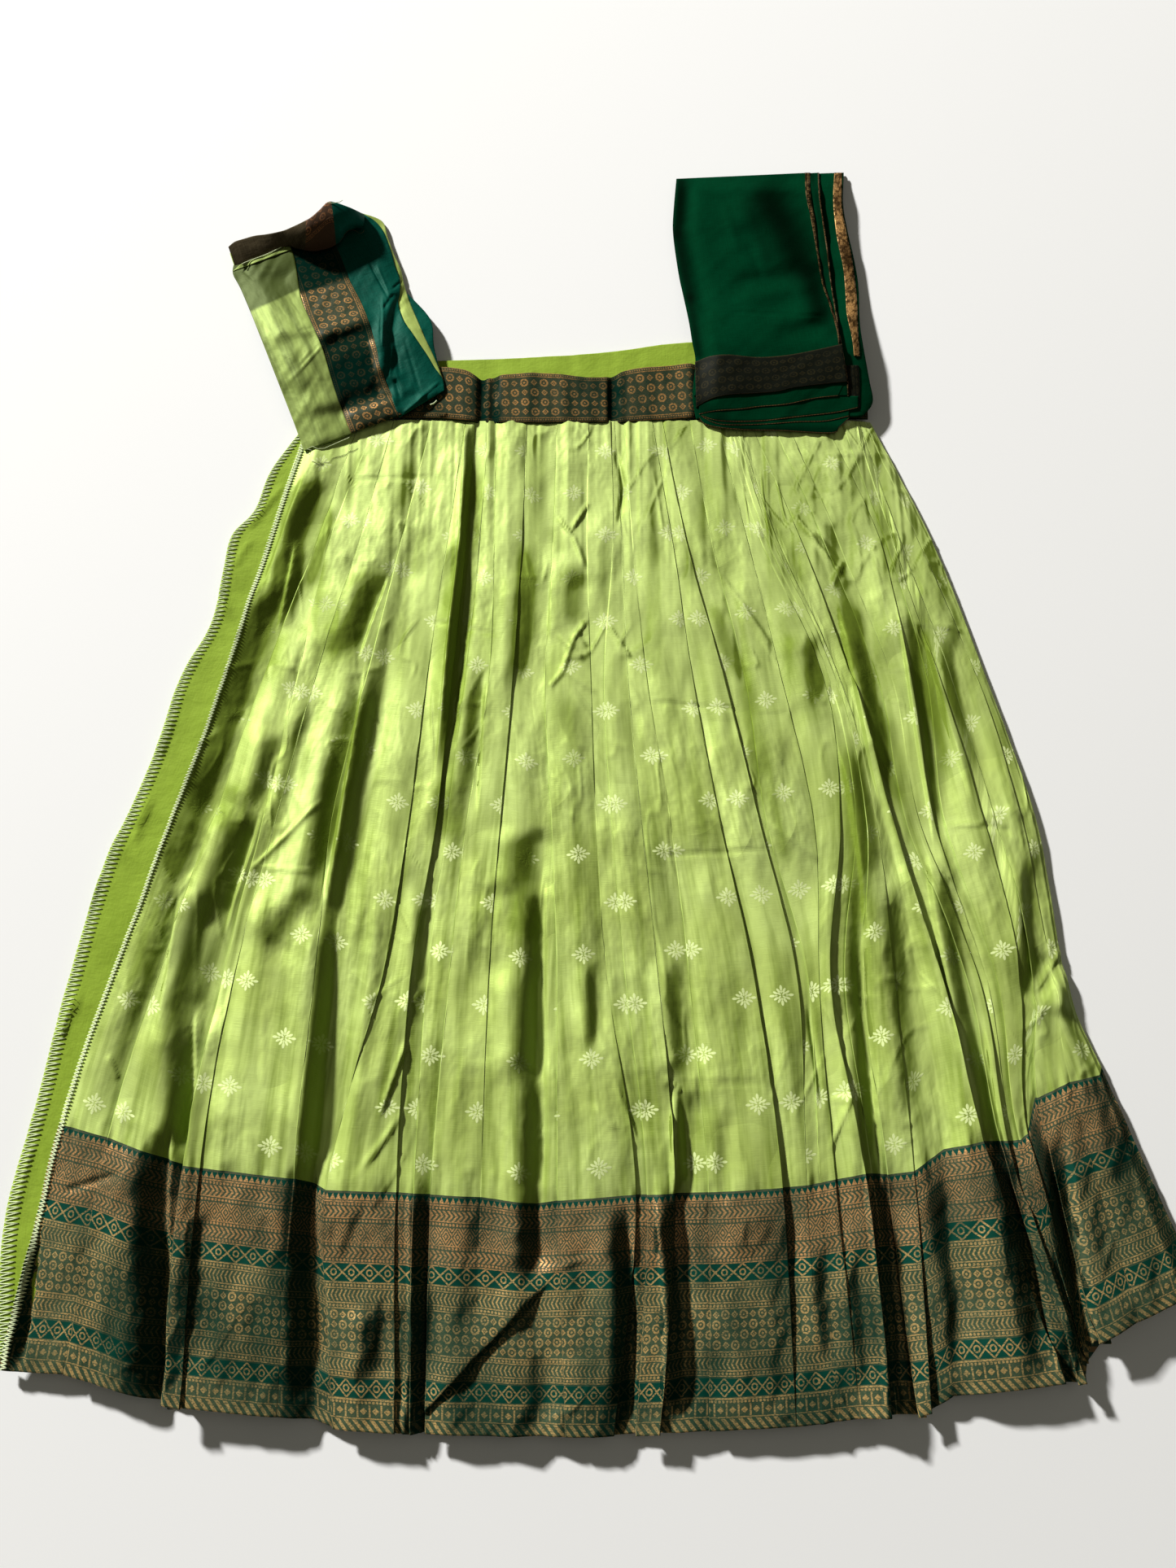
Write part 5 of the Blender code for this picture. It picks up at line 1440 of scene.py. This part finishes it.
def strip_shade(a, d):
    """How much shade is painted on the strip's gold: little in two places along it, and a painted highlight on
    its right edge between them.
    """
    start, end, across, slant, share = PAINTED_HIGHLIGHT_EDGE
    edge = smooth((a - across + (d - 150) * slant) / 4) * smooth((d - start) / 8) * smooth((end - d) / 8)
    return read_line(STRIP_SHADE_ALONG, d) * (1 - share * edge)


TEAL_LEFT = ((105, -6), (108, 60), (108, 120), (106, 190), (104, 250))
TEAL_RIGHT = (
    (154, -3), (163, 11), (167, 26), (167, 42), (166, 58), (164, 74), (163, 92), (157, 108), (151, 120),
    (149, 140), (152, 158), (155, 175), (158, 192), (160, 208), (163, 224), (160, 238),
)
teal = blouse_layer("blouse_teal_panel", TEAL_LEFT, TEAL_RIGHT, (60, 150), 0.98, 1.6, teal_satin)
WOVEN_LEFT = ((54, 0), (58, 40), (55, 95), (56, 140), (52, 195), (51, 248))
WOVEN_RIGHT = (
    (112, 8), (113, 40), (112, 72), (114, 100), (114, 125), (112, 150), (109, 178), (106, 203), (107, 225),
    (109, 248),
)
woven = blouse_layer("blouse_woven_panel", WOVEN_LEFT, WOVEN_RIGHT, (46, 130), 1.06, 1.6, strip_zari,
                     0.8, STRIP_HEIGHT, strip_shade)
SHADE_DOWN, SHADE_SLANT, SHADE_EASE = 66, 0.12, 5


def green_shadow_and_patches(a, d):
    """Painted shadow of the flap on the green panel, down to a slanting line, and random darker patches."""
    in_shade = 1 - smooth((d - SHADE_DOWN + SHADE_SLANT * a) / SHADE_EASE)
    return in_shade + 0.25 * np.clip(ripple(a, d, 26, 30, 76), 0, 1)


GREEN_LEFT = ((1, 6), (-3, 17), (-1, 40), (0, 90), (0, 150), (0, 210), (-1, 249))
green = blouse_layer("blouse_green_panel", GREEN_LEFT, GREEN_EDGE, (50, 150), 1.14, 1.6, plain_lime,
                     0.5, None, green_shadow_and_patches)
turned_hem = blouse_layer("blouse_turned_hem", ((8, 8), (-2, 13)), ((66, 3), (66, 11)), (50, 8), 1.24, 1.2,
                          plain_lime, 0.5)

# %% Turned flap of the blouse piece
# Its upper and lower edge as the camera sees them: mm across, mm down and height above the table.
FLAP_TOP = (
    (3, -18, 20), (14, -22, 21), (35, -21, 21), (55, -17, 24), (75, -16, 35), (95, -19, 40), (110, -25, 41),
    (122, -32, 42), (130, -29, 41), (142, -17, 35), (150, -8, 26), (155, -2, 17),
)
FLAP_FOOT = (
    (2, 7, 12), (12, 8, 13), (35, 6, 13), (62, 5, 14), (72, 12, 15), (80, 18, 15), (90, 23, 16),
    (105, 25, 16), (118, 22, 16), (128, 14, 16), (137, 12, 15), (147, 15, 13),
)
FLAP_ROWS, FLAP_COLUMNS, FLAP_CURL, FLAP_BELLY = 26, 150, 5.0, 2.0
# Behind its upper edge the flap comes down again, so that no light passes under it: rows from the lowest up,
# with the share of the way down to 9 mm above the table, and how far they stand behind the edge in mm.
FLAP_BACK, BACK_LEVEL_MM = ((1.0, 6.0), (0.6, 4.0), (0.25, 2.0), (0.06, 0.8)), 9.0
# Its three parts, as the first and the last column, with their finishes and slots.
FLAP_PARTS = (
    ("reverse", 0, 66, reverse_cloth, "zari_reverse"), ("strip", 66, 103, reverse_zari, "zari_reverse"),
    ("teal", 103, FLAP_COLUMNS, teal_satin, "teal_satin"),
)
flap_place = np.linspace(0, len(FLAP_TOP) - 1, FLAP_COLUMNS)
upper, lower = (spline(np.array(edge, float).T, flap_place) for edge in (FLAP_TOP, FLAP_FOOT))
flap_share = np.linspace(0, 1, FLAP_ROWS)[:, None]
flap_a, flap_d, flap_z = (lerp(high[None, :], low[None, :], flap_share) for high, low in zip(upper, lower))
belly = 4 * flap_share * (1 - flap_share)
flap_d = flap_d + FLAP_BELLY * belly + 0.8 * ripple(flap_a, flap_z, 11, 60, 75) * (1 - 0.6 * flap_share)
flap_z = flap_z + FLAP_CURL * belly * smooth((flap_a - 60) / 30)
flap_front = as_seen(*blouse_place(flap_a, flap_d), flap_z)
behind = np.array((math.sin(BLOUSE_TURN), math.cos(BLOUSE_TURN)))
back = []
for fall, out in FLAP_BACK:
    row = flap_front[:1].copy()
    row[..., :2] += behind * out
    row[..., 2] = lerp(row[..., 2], np.minimum(BACK_LEVEL_MM, row[..., 2] - 2), fall)
    back.append(row)
flap_points = np.concatenate(back + [flap_front], axis=0)
flap_lengths = np.dstack([path_length(flap_points, 1), path_length(flap_points, 0)]) * MM
flap_parts = []
for part, start, end, finish, slot_name in FLAP_PARTS:
    columns = slice(start, end + 1)
    piece = cloth(f"blouse_flap_{part}", flap_points[:, columns], flap_lengths[:, columns], finish)
    flap_parts.append(piece)


# %% Loose threads of the blouse piece, and what its pieces replace
def blouse_thread(name, points, width=0.7, material=pale_thread):
    """A thread whose points are mm across and down the blouse piece as seen, with their heights."""
    a, d, z = (np.array(column, float)[None, :] for column in zip(*points))
    return thread(name, as_seen(*blouse_place(a, d), z)[0], width, material, "lime_satin")


blouse_threads = [
    blouse_thread("flap_thread", ((118, 22, 23), (122, 19, 24), (126, 15, 25), (131, 12, 25), (136, 12, 25),
                                  (139, 15, 24), (142, 20, 23), (146, 20, 23), (148, 18, 23)),
                  0.5, reverse_cloth),
    blouse_thread("top_thread", ((123, -31, 42), (126, -29, 42), (130, -28, 42), (135, -27, 42),
                                 (139, -28, 42))),
    blouse_thread("corner_thread", ((140, 248, 17), (144, 248, 18), (148, 246, 18)), 1.6),
    blouse_thread("hem_thread", ((10, 8, 14), (20, 7, 14), (32, 7, 14), (45, 6, 14), (56, 4, 14),
                                 (65, 3, 14)), 1.0),
    blouse_thread("tangle_thread", ((-1, 251, 15), (3, 255, 15), (7, 251, 17), (3, 248, 17), (9, 247, 18),
                                    (13, 252, 17), (20, 254, 15), (34, 253, 15), (48, 252, 15)), 0.6),
]
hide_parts("blouse_bundle")
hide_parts("blouse_green")
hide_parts("blouse_border")
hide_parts("blouse_teal")
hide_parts("blouse_flap")

# %% [markdown]
# The dupatta is a long stole of dark green georgette, folded to a block. Its top layer ends in a woven band,
# narrow gold edging runs down its right side, and a gold lace trims the layer below. At the foot the last
# folds step out one below the other, each with a thin gold selvedge.

# %% Folded dupatta: edges in plan, as the camera sees them
DUPATTA_LEFT = (
    (100, 633), (96, 590), (95, 560), (100, 510), (105, 480), (110, 450), (113, 425), (116, 400),
    (112, 360), (115, 333),
)
DUPATTA_RIGHT = (
    (284, 641), (281, 600), (284, 565), (289, 530), (292, 495), (291, 450), (293, 420), (297, 380),
    (299, 352), (286, 335),
)
FIRST_EDGE = (
    (248, 641), (247, 610), (250, 580), (252, 540), (256, 500), (263, 470), (269, 440), (269, 420),
    (271, 400), (274, 378),
)
SECOND_EDGE = (
    (258, 641), (258, 610), (260, 580), (263, 540), (265, 500), (268, 465), (271, 430), (274, 400),
    (276, 378), (276, 360),
)
DUPATTA_THICK = 18.0
DUPATTA_RIGHT_X, DUPATTA_HEAD_Y, DUPATTA_FOOT_Y = 305, 640, 312
DUPATTA_SWELLS = (
    (190, 615, 240, 520, 24, 7.0, 0), (240, 520, 258, 455, 14, 4.5, 0), (160, 560, 200, 500, 16, 2.5, 0),
    (106, 625, 104, 570, 8, 3.0, 0), (104, 570, 122, 450, 8, 3.0, 0), (240, 505, 165, 488, 10, -3.0, 0),
    (250, 455, 200, 440, 10, 1.5, 0),
)
DUPATTA_CREASES = (
    (160, 462, 258, 457, 1.5, -0.7, 1.0), (150, 600, 165, 540, 5, 0.9, 1.0),
    (176, 548, 190, 500, 5, -0.9, 1.0),
)
# Shade painted on the georgette where it slopes from the lamp, and on the lace where it lies in a fold:
# strokes with x and y of the start and of the end, half-width and strength.
DUPATTA_SHADE = (
    (206, 598, 232, 520, 24, 0.75), (190, 606, 215, 575, 14, 0.4), (238, 512, 252, 462, 11, 0.6),
    (104, 628, 98, 560, 8, 0.8), (98, 560, 110, 480, 8, 0.8), (110, 480, 118, 410, 6, 0.7),
    (180, 590, 196, 530, 7, 0.3), (250, 640, 262, 520, 3, 0.5), (240, 470, 262, 440, 10, 0.3),
    (118, 350, 150, 325, 10, 0.5), (160, 322, 262, 320, 5, 0.6),
)
LACE_FOLD_SHADE = (
    (281, 544, 284, 522, 6, 0.9), (276, 612, 276, 606, 4, 0.6), (286, 452, 287, 446, 4, 0.5),
)
print("the dupatta's stack is", DUPATTA_THICK, "mm high")


# %% Folded dupatta: where it is dull, and how its layers are shaped
def shade_strokes(x, y, table):
    """How much shade is painted at points, 0 to 1, from a table of soft strokes."""
    left = np.ones_like(x)
    for *ends, half, strength in table:
        along, aside = stroke(x, y, *ends)
        beyond = (along - np.clip(along, 0, 1)) * math.dist(ends[:2], ends[2:])
        left *= 1 - strength * np.exp(-(aside ** 2 + beyond ** 2) / half ** 2)
    return 1 - left


def dupatta_shade(x, y):
    """How much shade is painted on the georgette at plan points."""
    return shade_strokes(x, y, DUPATTA_SHADE)


def lace_specks_and_shade(x, y):
    """Lace is patchy: its gold is broken into fine specks, and shade is painted where it lies in a fold."""
    specks = smooth(0.45 + 1.6 * ripple(x, y, 2.0, 2.4, 95)) * 0.9
    return 1 - (1 - specks) * (1 - shade_strokes(x, y, LACE_FOLD_SHADE))


def dupatta_layer(name, left, right, counts, level, thickness, material, slot, woven=None, shade_and_patches=dupatta_shade):
    """A layer of the dupatta between two edges in plan, shaped by its creases and swells."""
    def top(x, y):
        outer = np.array(DUPATTA_LEFT, float)[::-1]
        side = x - np.interp(y, outer[:, 1], outer[:, 0])
        side = np.minimum(np.minimum(side, DUPATTA_RIGHT_X - x), DUPATTA_HEAD_Y - y)
        height = crown(side, y - DUPATTA_FOOT_Y, DUPATTA_THICK) * level
        height += creases(x, y, DUPATTA_CREASES) + swells(x, y, DUPATTA_SWELLS)
        return height + ripples(x, y, (0.7, 0, 30, 60, 90), (0.3, -1, 12, 40, 91))

    return layer(name, left, right, counts, top, thickness, material, None, woven, shade_and_patches)


# %% Folded dupatta: its layers
# Finish and slot of what repeats, and the width of a woven strip.
GEORGETTE = (dark_green, "dark_green_cloth")
EDGING = (edging_zari, "gold_lace", EDGING_WIDTH)
DARK_BAND = (voni_zari, "zari_reverse", STRIP_HEIGHT)
# How far each fold of the stack stands out past its edges, lowest first, in mm.
FOLD_GROWTH = (0, -2, 1, -1, 1.5)
voni_folds = []
for k, grow in enumerate(FOLD_GROWTH):
    left = [(x - grow, y) for x, y in DUPATTA_LEFT]
    right = [(x + grow, y) for x, y in DUPATTA_RIGHT]
    piece = dupatta_layer(f"dupatta_fold_{k + 1}", left, right, (30, 50), 0.14 * (k + 1), 2.0, *GEORGETTE)
    voni_folds.append(piece)
# The last folds step out at the foot: level, then upper line and lower line, each read from right to left.
FOOT_FOLDS = (
    (0.76, ((276, 350), (255, 350), (200, 352), (150, 352), (119, 350)),
     ((275, 334), (264, 323), (254, 316), (200, 319), (160, 320), (126, 325), (117, 334))),
    (0.82, ((276, 360), (200, 360), (119, 360)),
     ((275, 336), (250, 330), (220, 329), (180, 326), (140, 326), (121, 334))),
    (0.88, ((286, 360), (200, 362), (118, 362)),
     ((285, 346), (260, 340), (220, 335), (180, 330), (140, 330), (119, 336))),
    (0.94, ((272, 375), (200, 370), (117, 370)),
     ((265, 360), (240, 357), (210, 350), (180, 347), (160, 344), (135, 342), (117, 338))),
)
foot_folds, selvedges = [], []
for k, (level, upper, lower) in enumerate(FOOT_FOLDS):
    piece = dupatta_layer(f"dupatta_foot_fold_{k + 1}", upper, lower, (16, 80), level, 2.0, *GEORGETTE)
    foot_folds.append(piece)
    inner = [(x, y + 1.3) for x, y in lower]
    piece = dupatta_layer(f"dupatta_selvedge_{k + 1}", inner, lower, (3, 80), level + 0.02, 1.0, *EDGING)
    selvedges.append(piece)
second_left = [(x + 30, y) for x, y in DUPATTA_LEFT[:-1]]
second = dupatta_layer("dupatta_second_layer", second_left, SECOND_EDGE, (40, 80), 0.92, 2.0, *GEORGETTE)
first = dupatta_layer("dupatta_top_layer", DUPATTA_LEFT[:-1], FIRST_EDGE, (60, 120), 1.0, 2.0, *GEORGETTE)
BAND_TOP = ((272, 423), (240, 415), (210, 409), (180, 407), (150, 410), (130, 408), (114, 401))
BAND_FOOT = ((275, 377), (250, 374), (220, 370), (200, 365), (180, 363), (150, 361), (130, 356), (114, 346))
voni_band = dupatta_layer("dupatta_woven_band", BAND_TOP, BAND_FOOT, (24, 70), 1.05, 1.4, *DARK_BAND)

# %% Gold edging and lace of the dupatta
EDGING_INNER = (
    (242, 641), (242, 610), (246, 580), (250, 540), (254, 500), (261, 470), (267, 440), (268, 424),
)
first_outer, second_inner = FIRST_EDGE[:len(EDGING_INNER)], [(x - 1.8, y) for x, y in SECOND_EDGE]
first_edging = dupatta_layer("dupatta_first_edging", EDGING_INNER, first_outer, (6, 90), 1.03, 1.0, *EDGING,
                             lace_specks_and_shade)
second_edging = dupatta_layer("dupatta_second_edging", second_inner, SECOND_EDGE, (4, 90), 0.95, 1.0, *EDGING,
                              lace_specks_and_shade)
LACE_INNER = (
    (275, 641), (272, 610), (272, 580), (274, 550), (278, 520), (279, 490), (279, 460), (283, 430),
    (284, 408),
)
LACE_OUTER = (
    (284, 641), (281, 600), (284, 565), (288, 535), (290, 505), (291, 475), (290, 440), (290, 408),
)
lace = dupatta_layer("dupatta_lace_strip", LACE_INNER, LACE_OUTER, (10, 110), 0.78, 1.2, lace_zari,
                     "gold_lace", LACE_WIDTH, lace_specks_and_shade)
SIDE_INNER, SIDE_OUTER = ((272, 397), (272, 370), (273, 346)), ((288, 397), (288, 370), (287, 346))
side_band = dupatta_layer("dupatta_side_band", SIDE_INNER, SIDE_OUTER, (14, 40), 0.80, 1.2, *DARK_BAND)
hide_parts("dupatta_bundle")
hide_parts("dupatta_last_fold")
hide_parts("dupatta_lower_fold")
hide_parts("dupatta_lace")
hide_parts("dupatta_top")
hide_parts("dupatta_border")

# %% [markdown]
# Raw edges are overlocked: a pale thread zigzags over them, finely down the skirt's open left edge and in
# coarse loops down the lining's edge. Both pitches are drawn coarser than the real ones, so that they can be
# seen. The zigzag runs on the sheet's own points, so it follows every wave of the cloth.

# %% Overlock stitches
# Pitch, how far the thread lies above the cloth and how thick it is, all in mm; then the columns it crosses.
STITCH_PITCH, STITCH_LIFT, STITCH_WIDTH, STITCH_COLUMNS = 3.2, 0.9, 1.2, 4
LOOP_PITCH, LOOP_LIFT, LOOP_WIDTH, LOOP_FIRST, LOOP_END = 4.6, 0.4, 1.0, 1, 6


def zigzag(strip, pitch, lift):
    """Points that go to and fro over a strip of cloth, between its first column and its last."""
    run = np.concatenate([[0], np.cumsum(np.linalg.norm(np.diff(strip[:, 0], axis=0), axis=1))])
    turn = 2 * (strip.shape[1] - 1)
    places = np.arange(0, run[-1], pitch / turn)
    step = np.arange(len(places)) % turn
    column = np.minimum(step, turn - step)
    tracks = np.array([[np.interp(places, run, strip[:, k, axis]) for axis in range(3)]
                       for k in range(strip.shape[1])])
    return tracks[column, :, np.arange(len(places))] + (0, 0, lift)


open_edge = np.concatenate([body[:, :STITCH_COLUMNS], border[1:, :STITCH_COLUMNS]], axis=0)
skirt_stitches = thread("skirt_edge_stitches", zigzag(open_edge, STITCH_PITCH, STITCH_LIFT), STITCH_WIDTH,
                        pale_thread, "lime_satin")
lining_loops = zigzag(lining[:, LOOP_FIRST:LOOP_END], LOOP_PITCH, LOOP_LIFT)
lining_stitches = thread("lining_edge_stitches", lining_loops, LOOP_WIDTH, pale_thread, "lime_lining")

# %% [markdown]
# Each sheet is declared with the size that it was cut to. The skirt's front is 1.55 m of cloth, pleated to
# 0.6 m at the waist. Panels and folds of the bundles are the parts of their lengths that show.

# %% The cut of every sheet
PILE = (0.175, 0.26)
FOLD = (0.19, 0.325)
FOOT = (0.16, 0.029)
# Piece, flat size in metres, how it is held, what it rests on, share of the rectangle, what is sewn to it.
CUTS = [
    (skirt, (1.55, 0.79), "gathered", ("plain_lining", "skirt_back"), None, (skirt_stitches,)),
    (border_piece, (1.55, 0.19), "gathered", ("plain_lining", "border_back"), None, ()),
    (lining_piece, (1.02, 0.92), "laid", ("skirt_back",), 0.72, (lining_stitches,)),
    (band_piece, (0.6, 0.064), "stretched", ("skirt_front_satin",), None, ()),
    (facing_piece, (0.58, 0.09), "laid", ("waistband_back",), None, ()),
    (teal, (0.06, 0.25), "folded", ("blouse_fold_4",), None, ()),
    (woven, (0.058, 0.25), "folded", ("blouse_fold_4",), None, ()),
    (green, (0.062, 0.25), "folded", ("blouse_fold_4",), None, (turned_hem, *blouse_threads)),
    (flap_parts[0], (0.066, 0.07), "folded", ("blouse_fold_4",), None, ()),
    (flap_parts[1], (0.037, 0.065), "folded", ("blouse_fold_4",), None, ()),
    (flap_parts[2], (0.045, 0.055), "folded", ("blouse_fold_4",), None, ()),
    (second, (0.14, 0.3), "folded", ("dupatta_fold_5",), None, (second_edging,)),
    (first, (0.155, 0.3), "folded", ("dupatta_second_layer",), None, (first_edging,)),
    (voni_band, (0.157, 0.047), "folded", ("dupatta_top_layer",), None, ()),
]
CUTS += [(piece, PILE, "folded", ("skirt_front_satin",), None, ()) for piece in blouse_pieces]
CUTS += [(piece, FOLD, "folded", ("skirt_front_satin",), None, ()) for piece in voni_folds[:-1]]
CUTS += [(voni_folds[-1], FOLD, "folded", ("dupatta_fold_4",), None, (lace, side_band))]
for piece, selvedge in zip(foot_folds, selvedges):
    CUTS.append((piece, FOOT, "folded", ("dupatta_fold_5",), None, (selvedge,)))
print("declared", len(CUTS), "sheets")
